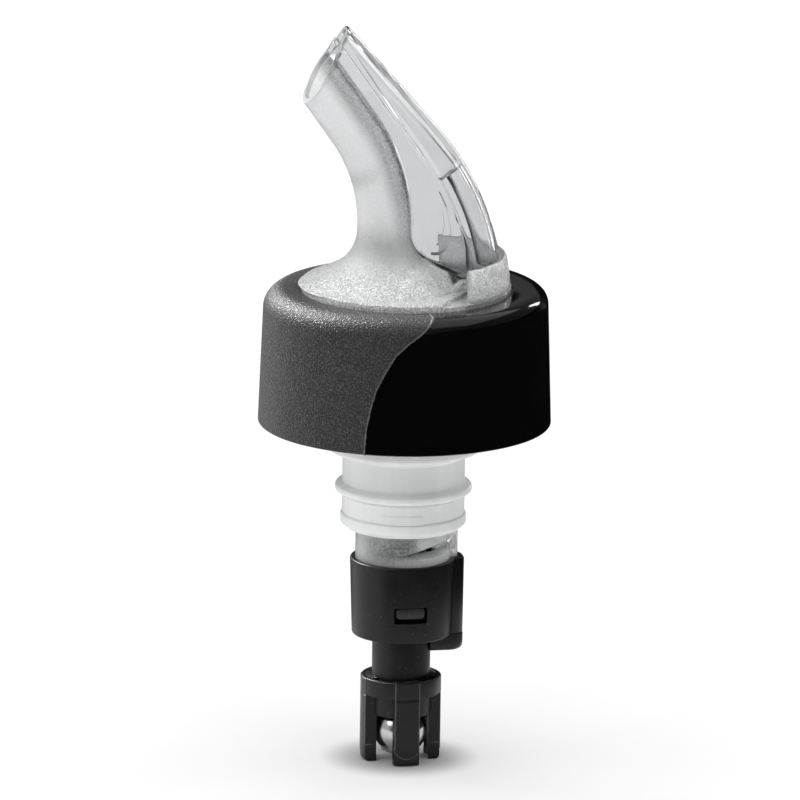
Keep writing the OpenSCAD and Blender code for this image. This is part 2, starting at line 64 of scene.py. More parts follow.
# Where pieces meet: the stem's radius and foot, the stopper's top, the way for the neck.
STEM_R, STEM_LOW_Z, STOPPER_TOP_Z, NECK_WAY_R = 7.65, 28.1, 55.2, 4.78
# The CAD body that all fixed pieces ride on.
POURER = "pourer"


# Meshes


def in_scene(name, mesh):
    """An object at the origin that holds a mesh."""
    piece = bpy.data.objects.new(name, mesh)
    bpy.context.scene.collection.objects.link(piece)
    return piece


def cleaned(mesh):
    """Merges a mesh's doubles and turns its faces outwards."""
    made = bmesh.new()
    made.from_mesh(mesh)
    bmesh.ops.remove_doubles(made, verts=made.verts, dist=SEAM * MM)
    bmesh.ops.recalc_face_normals(made, faces=made.faces)
    made.to_mesh(mesh)
    made.free()


def solid(name, points, faces):
    """A closed mesh from points in millimetres, with its faces turned outwards."""
    mesh = bpy.data.meshes.new(name)
    places = (np.asarray(points, float) * MM).tolist()
    mesh.from_pydata(places, [], [list(map(int, face)) for face in faces])
    cleaned(mesh)
    return in_scene(name, mesh)


def corner_arc(p, u, v, r, steps):
    """The middle and the points of an arc that rounds the corner p of the directions u and v."""
    half = math.acos(np.clip(u @ v, -1, 1)) / 2
    middle = p + (u + v) / np.linalg.norm(u + v) * r / math.sin(half)
    a = p + u * r / math.tan(half) - middle
    b = p + v * r / math.tan(half) - middle
    start = math.atan2(a[1], a[0])
    sweep = (math.atan2(b[1], b[0]) - start + math.pi) % (2 * math.pi) - math.pi
    turn = start + sweep * np.arange(steps + 1) / steps
    return middle, middle + r * np.column_stack([np.cos(turn), np.sin(turn)])


def rounded(corners, steps=6):
    """A closed outline from corners (x, z, radius), each rounded by an arc of its radius.

    A corner may carry its own number of steps as a fourth value.
    """
    out = []
    for i, (x, z, r, *own) in enumerate(corners):
        p = np.array((x, z), float)
        if r <= 0:
            out.append(p)
            continue
        u = np.array(corners[i - 1][:2], float) - p
        v = np.array(corners[(i + 1) % len(corners)][:2], float) - p
        u, v = u / np.linalg.norm(u), v / np.linalg.norm(v)
        out.extend(corner_arc(p, u, v, r, own[0] if own else steps)[1])
    return np.array(out)


def band(rows, columns, closed_rows):
    """Faces between rows of a closed ring of columns."""
    last = rows if closed_rows else rows - 1
    i, j = np.meshgrid(np.arange(last), np.arange(columns), indexing="ij")
    k, n = (i + 1) % rows, (j + 1) % columns
    corners = [i * columns + j, i * columns + n, k * columns + n, k * columns + j]
    return np.stack(corners, -1).reshape(-1, 4).tolist()


def turned(name, outline, steps=160, centre=(0.0, 0.0)):
    """A solid turned round an upright axis from a closed outline of (radius, height)."""
    outline = np.asarray(outline, float)
    turn = np.linspace(0, 2 * math.pi, steps, endpoint=False)[:, None]
    points = np.stack(
        [
            centre[0] + outline[None, :, 0] * np.cos(turn),
            centre[1] + outline[None, :, 0] * np.sin(turn),
            np.broadcast_to(outline[None, :, 1], (steps, len(outline))),
        ],
        -1,
    )
    return solid(name, points.reshape(-1, 3), band(steps, len(outline), True))


def drum(name, radius, low, high, steps, soft=(0, 0), centre=(0.0, 0.0)):
    """A round solid whose outer edges are rounded by soft, a pair for low and high."""
    corners = [(0, low, 0), (radius, low, soft[0]), (radius, high, soft[1]), (0, high, 0)]
    return turned(name, rounded(corners), steps, centre)


def lofted(name, sections):
    """A solid through closed sections with the same number of points, with flat ends."""
    sections = np.asarray(sections, float)
    rows, columns = sections.shape[:2]
    faces = band(rows, columns, False)
    faces.append(list(range(columns)))
    faces.append(list(range((rows - 1) * columns, rows * columns)))
    return solid(name, sections.reshape(-1, 3), faces)


def level(plan, z):
    """A plan outline of (x, y) at a height."""
    return np.column_stack([plan, np.full(len(plan), z)])


def upright(outline, y):
    """A side outline of (x, z) at a depth."""
    return np.column_stack([outline[:, 0], np.full(len(outline), y), outline[:, 1]])


def swung(outline, turn):
    """An outline of (radius, z) turned by an angle from the X axis."""
    return np.column_stack(
        [outline[:, 0] * math.cos(turn), outline[:, 0] * math.sin(turn), outline[:, 1]]
    )


def prism(name, outline, low, high):
    """An upright solid over a plan outline of (x, y)."""
    outline = np.asarray(outline, float)
    return lofted(name, [level(outline, z) for z in (low, high)])


def in_mm(items, key="co"):
    """The x, y and z of a mesh's points or faces, in millimetres."""
    place = np.zeros(len(items) * 3)
    items.foreach_get(key, place)
    return (place.reshape(-1, 3) / MM).T


def plain_mesh(piece):
    """Turns what the modifiers make of a piece into its own mesh."""
    evaluated = piece.evaluated_get(bpy.context.evaluated_depsgraph_get())
    mesh = bpy.data.meshes.new_from_object(evaluated)
    piece.modifiers.clear()
    piece.data = mesh
    mesh.name = piece.name
    return piece


def shaped(piece, tool, how="DIFFERENCE"):
    """Cuts, joins or intersects a piece with a tool, which is used up."""
    step = piece.modifiers.new("shape", "BOOLEAN")
    step.operation, step.object, step.solver = how, tool, "MANIFOLD"
    plain_mesh(piece)
    bpy.data.objects.remove(tool)
    return piece


def joined(piece, *others):
    """Puts the shells of other pieces into a piece as they are."""
    made = bmesh.new()
    for one in (piece, *others):
        made.from_mesh(one.data)
    made.to_mesh(piece.data)
    made.free()
    for one in others:
        bpy.data.objects.remove(one)
    return piece


def dressed(piece, material, node, angle=32):
    """Smooths a piece, gives it its material and body, and lets it stand for its CAD node."""
    mesh = piece.data
    mesh.materials.clear()
    mesh.materials.append(material)
    mesh.polygons.foreach_set("use_smooth", [True] * len(mesh.polygons))
    mesh.set_sharp_from_angle(angle=math.radians(angle))
    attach(piece, POURER)
    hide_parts(node)


# Node trees


class Wire:
    """A socket that can stand in sums."""

    def __init__(self, tree, socket):
        self.tree, self.socket = tree, socket

    def maths(self, operation, a, b=0.0):
        return self.tree.node("ShaderNodeMath", {0: a, 1: b}, operation=operation)

    def __add__(self, other):
        return self.maths("ADD", self, other)

    def __radd__(self, other):
        return self.maths("ADD", other, self)

    def __sub__(self, other):
        return self.maths("SUBTRACT", self, other)

    def __rsub__(self, other):
        return self.maths("SUBTRACT", other, self)

    def __mul__(self, other):
        return self.maths("MULTIPLY", self, other)

    def __rmul__(self, other):
        return self.maths("MULTIPLY", other, self)

    def __truediv__(self, other):
        return self.maths("DIVIDE", self, other)

    def step(self, low, high):
        """0 below low, 1 above high and smooth between."""
        return self.tree.node(
            "ShaderNodeMapRange",
            {"Value": self, "From Min": low, "From Max": high},
            interpolation_type="SMOOTHSTEP",
        )


class Tree:
    """Adds nodes to a shader or geometry tree."""

    def __init__(self, tree):
        self.tree = tree

    def add(self, kind, inputs=None, **settings):
        made = self.tree.nodes.new(kind)
        for key, value in settings.items():
            setattr(made, key, value)
        for key, value in (inputs or {}).items():
            if isinstance(value, Wire):
                self.tree.links.new(value.socket, made.inputs[key])
            else:
                made.inputs[key].default_value = value
        return made

    def node(self, kind, inputs=None, output=0, **settings):
        return Wire(self, self.add(kind, inputs, **settings).outputs[output])

    def axes(self, place):
        """The x, y and z of a place."""
        parts = self.add("ShaderNodeSeparateXYZ", {"Vector": place})
        return [Wire(self, part) for part in parts.outputs]


class Paint(Tree):
    """A material on the principled shader. Constants go straight onto its sockets."""

    varied = {
        "colour": "Base Color",
        "roughness": "Roughness",
        "normal": "Normal",
        "alpha": "Alpha",
    }

    def __init__(self, name, constants):
        self.material = bpy.data.materials.new(name)
        self.material.use_nodes = True
        super().__init__(self.material.node_tree)
        self.shader = self.tree.nodes["Principled BSDF"]
        self.output = self.tree.nodes["Material Output"]
        self.set(constants)
        self.place = self.node("ShaderNodeTexCoord", output="Object")

    def set(self, constants):
        for key, value in constants.items():
            self.shader.inputs[key].default_value = value

    def second(self, share, constants):
        """Adds a second principled shader, which shows where share is 1."""
        before = self.output.inputs["Surface"].links[0].from_socket
        self.shader = self.add("ShaderNodeBsdfPrincipled")
        self.set(constants)
        mixed = self.add("ShaderNodeMixShader", {0: share})
        self.tree.links.new(before, mixed.inputs[1])
        self.tree.links.new(self.shader.outputs[0], mixed.inputs[2])
        self.tree.links.new(mixed.outputs[0], self.output.inputs["Surface"])

    def noise(self, size, detail=2.0, stretch=None):
        """Noise from 0 to 1 whose grain measures about size in millimetres."""
        place = self.place
        if stretch:
            place = self.node("ShaderNodeMapping", {"Vector": place, "Scale": stretch})
        return self.node(
            "ShaderNodeTexNoise",
            {"Vector": place, "Scale": 1 / (size * MM), "Detail": detail},
        )

    def attribute(self, name):
        return self.node("ShaderNodeAttribute", output="Fac", attribute_name=name)

    def blend(self, share, a, b):
        """A colour between a and b."""
        mixed = self.add("ShaderNodeMix", {0: share, 6: a, 7: b}, data_type="RGBA")
        return Wire(self, mixed.outputs[2])

    def bump(self, height, distance, strength=1.0):
        """A normal from a height of 0 to 1 that stands for distance in millimetres."""
        return self.node(
            "ShaderNodeBump",
            {"Height": height, "Distance": distance * MM, "Strength": strength},
        )

    def feed(self, **varying):
        """Links what varies over the surface to the last shader and returns the material."""
        for key, value in varying.items():
            self.tree.links.new(value.socket, self.shader.inputs[self.varied[key]])
        return self.material


# Materials


def clear_plastic():
    """Clear moulding that turns into a frosted tube and a brighter, sparkling flare, with painted
    shade from the shade attribute darkening the frost.
    """
    paint = Paint("clear_plastic", {"Transmission Weight": 1.0, "IOR": 1.5})
    frost = paint.attribute("frost")
    shade = paint.attribute("shade")
    flare = paint.attribute("flare")
    inner = paint.attribute("inner")
    white = (1, 1, 1, 1)
    grain = paint.noise(0.2, 3.0)
    speck = paint.noise(0.3, 2.0)
    cloud = paint.noise(2.2, 2.0)
    waves = paint.noise(5.0, 1.0)
    tint = paint.blend(waves, (0.5, 0.51, 0.515, 1), (0.44, 0.45, 0.455, 1))
    paint.feed(
        colour=paint.blend(inner, tint, white),
        roughness=0.012 + waves * 0.02,
        normal=paint.bump(waves, 0.01, 0.4),
    )
    # the lower air hollow bends the light less, so its lines stay soft
    across, _, height = paint.axes(paint.place)
    lower_hollow = inner * (1 - height.step(94 * MM, 96 * MM))
    paint.second(lower_hollow * 0.6, {"Transmission Weight": 1.0, "IOR": 1.2})
    paint.feed(
        colour=paint.blend(waves, white, (0.97, 0.97, 0.97, 1)),
        roughness=0.012 + waves * 0.02,
    )
    milky = frost * (0.92 + cloud * 0.16) + paint.attribute("end") * 0.8
    paint.second(milky, {"Transmission Weight": 0.6, "IOR": 1.5})
    # the stem is mottled, the tube nearly even
    on_tube = height.step(60 * MM, 70 * MM)
    mottle = 0.85 - 0.6 * on_tube
    fine = speck.step(0.35, 0.65)
    blot = paint.noise(0.36, 3.0).step(0.38, 0.6) * (1 - on_tube) + fine * on_tube
    # painted shade: a darker patch where the metering tube shows through the stem
    sides = across.step(-7.5 * MM, -4 * MM) * (1 - across.step(-1 * MM, 2.5 * MM))
    painted_tube_shade = sides * height.step(33.8 * MM, 36 * MM) * (1 - height.step(37 * MM, 39.2 * MM))
    # painted shade: the crease, bend and stem shade from the attribute plus the patch, mottled by
    # the grain
    dark = (shade + painted_tube_shade * 0.42) * (1 - mottle * 0.55 + mottle * blot)
    light = paint.blend(cloud, (0.95, 0.955, 0.96, 1), (0.84, 0.85, 0.855, 1))
    light = paint.blend(fine * 0.3, light, (0.66, 0.67, 0.675, 1))
    paint.feed(
        colour=paint.blend(dark, light, (0.035, 0.035, 0.04, 1)),
        roughness=0.33 + cloud * 0.1 + grain * 0.12,
        normal=paint.bump(grain * 0.75 + cloud * 0.25, 0.12, 0.8),
    )
    paint.second(flare, {"Transmission Weight": 0.3, "IOR": 1.5})
    bright = paint.blend(cloud.step(0.35, 0.65), (0.97, 0.975, 0.975, 1), (0.82, 0.83, 0.835, 1))
    return paint.feed(
        colour=paint.blend(speck.step(0.42, 0.56) * 0.8, bright, (0.36, 0.365, 0.37, 1)),
        roughness=0.2 + cloud * 0.15,
        normal=paint.bump(speck * 0.7 + cloud * 0.3, 0.3, 1.0),
    )


def collar_matte():
    """Black with a fine grain, whose flecks sparkle most on the shoulder; the pale flecks are
    partly painted glints, and painted light makes the colour lighter towards the front.
    """
    paint = Paint("collar_matte", {"IOR": 1.5})
    grain = paint.noise(0.28, 1.0)
    fleck = paint.noise(0.26, 1.0).step(0.5, 0.62)
    wear = paint.noise(6.0, 3.0)
    across, _, height = paint.axes(paint.place)
    # painted light: the colour is lighter towards the front; the pale fleck colour is partly real
    # grain, partly painted glints
    front = across.step(-23 * MM, -8 * MM)
    shoulder = height.step(77.5 * MM, 79 * MM)
    low = paint.blend(front, (0.01, 0.01, 0.0105, 1), (0.032, 0.032, 0.033, 1))
    high = paint.blend(front, (0.06, 0.061, 0.062, 1), (0.088, 0.089, 0.09, 1))
    return paint.feed(
        colour=paint.blend(fleck, low, high),
        roughness=0.52 - shoulder * 0.18 - fleck * 0.2 + wear * 0.05,
        normal=paint.bump(grain, 0.17, 1.0),
    )


def collar_edge():
    """The crest along the parting line, coloured pale as a painted highlight whose tone varies a
    little along it.
    """
    paint = Paint("collar_edge", {"IOR": 1.5})
    wear = paint.noise(1.5, 3.0)
    return paint.feed(
        colour=paint.blend(wear, (0.09, 0.09, 0.09, 1), (0.16, 0.16, 0.16, 1)),
        roughness=0.22 + wear * 0.1,
        normal=paint.bump(wear, 0.004, 0.3),
    )


def collar_gloss():
    """The polished back of the collar."""
    paint = Paint("collar_gloss", {"IOR": 1.4})
    wear = paint.noise(6.0, 3.0)
    return paint.feed(
        colour=paint.blend(wear, (0.0015, 0.0015, 0.002, 1), (0.003, 0.003, 0.003, 1)),
        roughness=0.05 + wear * 0.04,
        normal=paint.bump(wear, 0.004, 0.3),
    )


def stopper_plastic():
    """Soft white plastic that lets a little light in."""
    paint = Paint(
        "stopper_plastic",
        {
            "IOR": 1.45,
            "Subsurface Weight": 0.5,
            "Subsurface Radius": (1.0, 0.95, 0.9),
            "Subsurface Scale": 0.0016,
        },
    )
    grain = paint.noise(0.35, 2.0)
    cloud = paint.noise(5.0, 2.0)
    streak = paint.noise(1.4, 2.0, stretch=(1.0, 1.0, 0.12))
    stripe = paint.noise(3.2, 1.0, stretch=(1.0, 1.0, 0.05))
    tone = cloud * 0.3 + streak * 0.3 + stripe.step(0.35, 0.65) * 0.4
    return paint.feed(
        colour=paint.blend(tone, (0.88, 0.89, 0.89, 1), (0.75, 0.76, 0.765, 1)),
        roughness=0.42 + grain * 0.12,
        normal=paint.bump(grain + streak * 0.6, 0.012, 0.5),
    )


def black_plastic():
    """Satin black with a little dust, and painted highlights where the edge attribute marks edges
    and faces.
    """
    paint = Paint("black_plastic", {"IOR": 1.39})
    edge = paint.attribute("edge")
    grain = paint.noise(0.22, 3.0)
    cloud = paint.noise(3.0, 3.0)
    dust = paint.noise(0.5, 1.0)
    base = paint.blend(cloud, (0.003, 0.003, 0.003, 1), (0.01, 0.01, 0.011, 1))
    # painted highlights on the marked edges and faces, broken up by the dust noise
    base = paint.blend(edge * (0.6 + dust * 0.8), base, (0.09, 0.09, 0.092, 1))
    return paint.feed(
        colour=paint.blend(dust.step(0.71, 0.78) * 0.35, base, (0.16, 0.16, 0.16, 1)),
        roughness=0.32 + cloud * 0.12,
        normal=paint.bump(grain, 0.012, 0.5),
    )


def ball_steel():
    """Polished steel with fine scratches."""
    paint = Paint("ball_steel", {"Metallic": 1.0})
    scratch = paint.noise(0.5, 3.0, stretch=(1.0, 1.0, 0.15))
    return paint.feed(
        colour=paint.blend(scratch, (0.66, 0.67, 0.68, 1), (0.5, 0.51, 0.53, 1)),
        roughness=0.14 + scratch * 0.08,
        normal=paint.bump(scratch, 0.002, 0.3),
    )


CLEAR = clear_plastic()
COLLAR_MATTE = collar_matte()
COLLAR_GLOSS = collar_gloss()
COLLAR_CREST_HIGHLIGHT = collar_edge()
STOPPER = stopper_plastic()
BLACK = black_plastic()
STEEL = ball_steel()


# Geometry nodes


def node_group(name, inputs):
    """A geometry tree with named inputs, its wires and its group nodes."""
    group = bpy.data.node_groups.new(name, "GeometryNodeTree")
    group.interface.new_socket("Geometry", in_out="INPUT", socket_type="NodeSocketGeometry")
    for key, (kind, value) in inputs.items():
        socket = group.interface.new_socket(key, in_out="INPUT", socket_type=kind)
        if kind not in ("NodeSocketMaterial", "NodeSocketObject"):
            socket.default_value = value
    group.interface.new_socket("Geometry", in_out="OUTPUT", socket_type="NodeSocketGeometry")
    tree = Tree(group)
    source = tree.add("NodeGroupInput")
    return group, tree, {s.name: Wire(tree, s) for s in source.outputs if s.name}


def end_of_tree(tree, geometry, material):
    """Ends a geometry tree with real geometry in its material."""
    whole = tree.node("GeometryNodeRealizeInstances", {"Geometry": geometry})
    painted = tree.node("GeometryNodeSetMaterial", {"Geometry": whole, "Material": material})
    tree.add("NodeGroupOutput", {"Geometry": painted})


def run_nodes(piece, group, values):
    """Runs a geometry tree on a piece with these inputs and keeps its mesh."""
    step = piece.modifiers.new("nodes", "NODES")
    step.node_group = group
    for item in group.interface.items_tree:
        if item.item_type == "SOCKET" and item.in_out == "INPUT" and item.name in values:
            step[item.identifier] = values[item.name]
    return plain_mesh(piece)


def swept_rod_group():
    """A round rod along a line of edges, whose radius runs from one end's to the other's."""
    group, tree, given = node_group(
        "swept_rod",
        {
            "Start Radius": ("NodeSocketFloat", 0.001),
            "End Radius": ("NodeSocketFloat", 0.001),
            "Sides": ("NodeSocketInt", 48),
            "Material": ("NodeSocketMaterial", None),
        },
    )
    path = tree.node("GeometryNodeMeshToCurve", {"Mesh": given["Geometry"]})
    along = tree.node("GeometryNodeSplineParameter")
    radius = given["Start Radius"] + along * (given["End Radius"] - given["Start Radius"])
    rim = tree.node(
        "GeometryNodeCurvePrimitiveCircle", {"Resolution": given["Sides"], "Radius": 1.0}
    )
    rod = tree.add(
        "GeometryNodeCurveToMesh", {"Curve": path, "Profile Curve": rim, "Fill Caps": True}
    )
    if "Scale" in rod.inputs:
        group.links.new(radius.socket, rod.inputs["Scale"])
    else:
        sized = tree.node("GeometryNodeSetCurveRadius", {"Curve": path, "Radius": radius})
        group.links.new(sized.socket, rod.inputs["Curve"])
    end_of_tree(tree, Wire(tree, rod.outputs[0]), given["Material"])
    return group


def ring_of_prongs_group():
    """The prong repeated round the axis, together with what carries it."""
    group, tree, given = node_group(
        "ring_of_prongs",
        {
            "Prong": ("NodeSocketObject", None),
            "Count": ("NodeSocketInt", 4),
            "Material": ("NodeSocketMaterial", None),
        },
    )
    prong = tree.node("GeometryNodeObjectInfo", {"Object": given["Prong"]}, output="Geometry")
    spots = {"Count": given["Count"], "Position": (0, 0, 0), "Radius": MM}
    index = tree.node("GeometryNodeInputIndex")
    turn = tree.node("ShaderNodeCombineXYZ", {"Z": index * (2 * math.pi) / given["Count"]})
    copies = tree.node(
        "GeometryNodeInstanceOnPoints",
        {"Points": tree.node("GeometryNodePoints", spots), "Instance": prong, "Rotation": turn},
    )
    together = tree.add("GeometryNodeJoinGeometry")
    group.links.new(given["Geometry"].socket, together.inputs[0])
    group.links.new(copies.socket, together.inputs[0])
    end_of_tree(tree, Wire(tree, together.outputs[0]), given["Material"])
    return group


SWEPT_ROD = swept_rod_group()


def swept_rod(name, path, start_radius, end_radius=None, sides=64):
    """A rod along points (x, z) in the plane of the spout."""
    mesh = bpy.data.meshes.new(name)
    points = [(x * MM, 0.0, z * MM) for x, z in path]
    mesh.from_pydata(points, [(i, i + 1) for i in range(len(points) - 1)], [])
    values = {
        "Start Radius": start_radius * MM,
        "End Radius": (start_radius if end_radius is None else end_radius) * MM,
        "Sides": sides,
        "Material": CLEAR,
    }
    rod = run_nodes(in_scene(name, mesh), SWEPT_ROD, values)
    cleaned(rod.data)
    return rod


# Spout

# The tube's axis, radius and bore, and the middle, radius and angle of its bend.
TUBE_X, TUBE_R, BORE_R = -3.25, 4.8, 3.7
BEND_X, BEND_Z, BEND_R, BEND = -32.05, 89.0, 28.8, math.radians(35)
FLANGE_Z, FLANGE_LOW_Z, FLANGE_R = 79.5, 77.9, 16.95
# The end of the bend, with the directions along the tube and to its back there.
TIP = np.array((BEND_X + BEND_R * math.cos(BEND), BEND_Z + BEND_R * math.sin(BEND)))
TIP_UP = np.array((-math.sin(BEND), math.cos(BEND)))
TIP_BACK = np.array((math.cos(BEND), math.sin(BEND)))
MOUTH = TIP + TIP_UP * 10.6
MOUTH_TILT = math.radians(60.3)
# The air ridge's bend and its lean where it runs straight, and half the web's thickness.
RIDGE_MIDDLE, RIDGE_BEND_R = np.array((-29.005, 75.441)), 42.35
RIDGE_LEAN = math.radians(40.5)
WEB_HALF = 3.6


def arc_points(middle, radius, start, end, count):
    """Points on an arc between two angles in degrees."""
    t = np.radians(np.linspace(start, end, count))
    return np.column_stack([middle[0] + radius * np.cos(t), middle[1] + radius * np.sin(t)])


def stations():
    """Places along the tube: point on its axis, direction to the back, height along the axis."""
    out = [((TUBE_X, z), (1.0, 0.0), z) for z in np.linspace(FLANGE_Z - 0.35, BEND_Z, 46)]
    for a in np.linspace(0, BEND, 50)[1:]:
        back = (math.cos(a), math.sin(a))
        point = (BEND_X + BEND_R * back[0], BEND_Z + BEND_R * back[1])
        out.append((point, back, BEND_Z + BEND_R * a))
    for t in np.linspace(0, 18, 34)[1:]:
        out.append((tuple(TIP + TIP_UP * t), tuple(TIP_BACK), BEND_Z + BEND_R * BEND + t))
    return out


def reach(point, back, line):
    """Distance from a point along a direction to a line of points."""
    offset = line - np.array(point)
    side = offset[:, 0] * back[1] - offset[:, 1] * back[0]
    ahead = offset @ np.array(back)
    for i in np.nonzero(side[:-1] * side[1:] <= 0)[0]:
        t = side[i] / (side[i] - side[i + 1] + 1e-12)
        found = ahead[i] + t * (ahead[i + 1] - ahead[i])
        if found > 0:
            return found
    return ahead.max()


def flare_radius(z):
    """Radius of the tube, and of the flare at its foot, at a height."""
    slope, foot, bend = math.radians(28), 13.55, 7
    corner_h = (foot - TUBE_R) * math.tan(slope)
    tangent = bend * math.tan(math.radians(31))
    top, h = corner_h + tangent, z - FLANGE_Z
    if h >= top:
        return TUBE_R
    if h > corner_h - tangent * math.sin(slope):
        return TUBE_R + bend - math.sqrt(bend**2 - (h - top) ** 2)
    return foot - h / math.tan(slope)


# The web's back edge and the middle of the air ridge, as (x, z).
EDGE_LINE = np.vstack(
    [
        [(10.15, 78.5), (10.15, 79.5), (10.15, 80.5), (10.05, 82.5), (9.8, 84.5), (9.35, 86.5)],
        arc_points((-29.0, 75.44), 39.7, 19.6, 40.5, 30),
        [(-9.7, 116.8), (-15.4, 124.9)],
    ]
)
RIDGE_LINE = np.vstack(
    [
        arc_points(RIDGE_MIDDLE, RIDGE_BEND_R, 2.0, 40.5, 60),
        RIDGE_MIDDLE
        + RIDGE_BEND_R * np.array((math.cos(RIDGE_LEAN), math.sin(RIDGE_LEAN)))
        + 34 * np.array((-math.sin(RIDGE_LEAN), math.cos(RIDGE_LEAN))),
    ]
)


def smoothed(values, rounds):
    """Values averaged with their neighbours a number of times."""
    values = np.array(values, float)
    for _ in range(rounds):
        values[1:-1] = (values[:-2] + 2 * values[1:-1] + values[2:]) / 4
    return values


def quarter(middle, radius, start, end, count):
    """Part of a circle between two angles, without its first point."""
    turn = np.linspace(start, end, count)[1:]
    return np.column_stack([middle[0] + radius * np.cos(turn), middle[1] + radius * np.sin(turn)])


def straight(start, end, y, count):
    """Points along a straight edge at y, without its first point."""
    return np.column_stack([np.linspace(start, end, count)[1:], np.full(count - 1, y)])


def spout_sections(inset=0.0):
    """Sections of the spout's body from inside the flange to past the mouth."""
    places = stations()
    flat, right, down = math.pi, math.pi / 2, 1.5 * math.pi
    corner, fillet, rod_r, rod_taper = 0.28, 0.3, 2.6, 0.3
    edge = smoothed([reach(p, b, EDGE_LINE) for p, b, _ in places], 10)
    ridge = smoothed([reach(p, b, RIDGE_LINE) for p, b, _ in places], 6)
    out = []
    for (point, back, height), a, d in zip(places, edge, ridge):
        tube = flare_radius(height) - inset
        top = np.clip((height - 100) / 20, 0, 1)
        rod = rod_r - rod_taper * top - inset
        web = WEB_HALF - inset
        low = np.clip((84 - height) / 4, 0, 1)
        crease = 0.45 + 0.9 * low
        a = max(a - inset, 1.0)
        # where the crease between tube and web has its middle
        cx = math.sqrt((tube + crease) ** 2 - (web + crease) ** 2)
        squeeze = min(1.0, (a - corner - 0.12) / cx)
        end = math.atan2(web + crease, cx)
        front = np.vstack(
            [
                [(-tube, tube * math.sin(flat))],
                quarter((0, 0), tube, flat, end, 46),
                quarter((cx, web + crease), crease, flat + end, down, 8),
            ]
        )
        front[:, 0] = np.where(front[:, 0] > 0, front[:, 0] * squeeze, front[:, 0])
        d = max(d, a + fillet + 0.02)
        half = np.vstack(
            [
                front,
                straight(front[-1, 0], a - corner, web, 12),
                quarter((a - corner, web - corner), corner, right, 0, 6),
                [(a, rod + fillet + fillet * math.sin(flat))],
                quarter((a + fillet, rod + fillet), fillet, flat, down, 6),
                straight(a + fillet, d, rod, 8),
                quarter((d, 0), rod, right, 0, 18),
            ]
        )
        ring = np.vstack([half, (half * (1, -1))[-2:0:-1]])
        x, z = point[0] + ring[:, 0] * back[0], point[1] + ring[:, 0] * back[1]
        out.append(np.column_stack([x, ring[:, 1], z]))
    return out


def past_mouth(depth):
    """The space past the mouth's sloping face, moved in by a depth."""
    piece = prism("past_mouth", [(-40, -30), (40, -30), (40, 30), (-40, 30)], -depth, 40)
    turn = Matrix.Rotation(-MOUTH_TILT, 4, "Y")
    place = Matrix.Translation(Vector((MOUTH[0] * MM, 0, MOUTH[1] * MM)))
    piece.data.transform(place @ turn)
    return piece


def centre_line(low, tip_len, count=40):
    """The tube's axis from a height to a length past its bend."""
    t = np.linspace(0, BEND, count)
    bend = np.column_stack([BEND_X + BEND_R * np.cos(t), BEND_Z + BEND_R * np.sin(t)])
    foot = [(TUBE_X, low), (TUBE_X, (low + BEND_Z) / 2)]
    return np.vstack([foot, bend, [TIP + TIP_UP * tip_len]])


def tip_rounding(tip, r=0.5):
    """What rounding the sharp top of the mouth takes away, with the tip as (x, z)."""
    along = np.array((-math.cos(MOUTH_TILT), -math.sin(MOUTH_TILT)))
    down = np.array((math.sin(RIDGE_LEAN), -math.cos(RIDGE_LEAN)))
    middle, arc = corner_arc(tip, along, down, r, 9)
    # the rest of the outline lies well outside the mouth
    out = 8 * (arc - middle)
    plan = np.vstack([arc, [arc[-1] + out[-1], tip - 8 * (middle - tip), arc[0] + out[0]]])
    return lofted("tip_rounding", [upright(plan, y) for y in (-5, 5)])


def cuff():
    """The upright wall round the back of the flange."""
    corners = [
        (15.4, 78.6, 0), (16.82, 78.6, 0), (16.6, 81.0, 1.5), (16.1, 84.2, 0.5), (14.95, 84.2, 0.5),
    ]
    outline = rounded(corners, 5)
    return lofted("cuff", [swung(outline, t) for t in np.radians(np.linspace(-61, 61, 90))])


def inlet_port():
    """One inlet port's cutter: a long groove towards the air tube, open along a thin slot."""
    across = np.linspace(-2.6, 8.4, 56)

    def along(places, values, rounds=4):
        return smoothed(np.interp(across, places, values), rounds)

    top = along([-2.6, -1.0, 1.0, 3.0, 5.2, 6.5, 8.4], [35.5, 35.75, 36.25, 36.8, 37.3, 37.4, 37.3])
    low = along([-2.6, -1.8, 0.3, 4.0, 8.4], [35.38, 35.12, 35.0, 35.0, 35.1])
    deep = along([-2.6, -1.0, 0.6, 1.4, 4.4, 5.2, 8.4], [7.6, 7.15, 6.6, 6.1, 6.1, 6.6, 7.2], 3)
    middle = along([-2.6, 0.9, 8.4], [35.44, 36.05, 36.1])
    outside, slot = -12, 0.12
    sections = []
    for x, t, l, d, m in zip(across, top, low, deep, middle):
        skin = math.sqrt(max((STEM_R + 0.01) ** 2 - x**2, 1.2))
        bottom = min(math.sqrt(max(d**2 - x**2, 0.6)), skin - 0.05)
        profile = [(outside, l), (outside, t), (-skin, t)]
        profile += [(-bottom, m + slot), (-bottom, m - slot), (-skin, l)]
        sections.append([(x, y, z) for y, z in profile])
    return lofted("inlet_port", sections)


def upper_core():
    """The flat-sided hollow that narrows from the bend of the air ridge up to the mouth."""
    sections = []
    low, high = np.array((4.9, 95.9)), np.array((7.6, 98.3))
    far_low, far_high = low + 38 * np.array((-0.543, 0.84)), high + 36 * np.array((-0.621, 0.784))
    half = ((1.33, 0), (1.48, -0.07), (1.55, -0.22))
    for y, grow in [(-y, grow) for y, grow in half[::-1]] + list(half):
        plan = rounded(
            [
                (low[0] - 0.2 * grow, low[1] - grow, 0.9 + grow),
                (high[0] + grow, high[1] - 0.3 * grow, 0.9 + grow),
                (far_high[0] + 0.78 * grow, far_high[1] + 0.62 * grow, 0),
                (far_low[0] - 0.84 * grow, far_low[1] - 0.54 * grow, 0),
            ],
            8,
        )
        sections.append(upright(plan, y))
    return lofted("upper_core", sections)


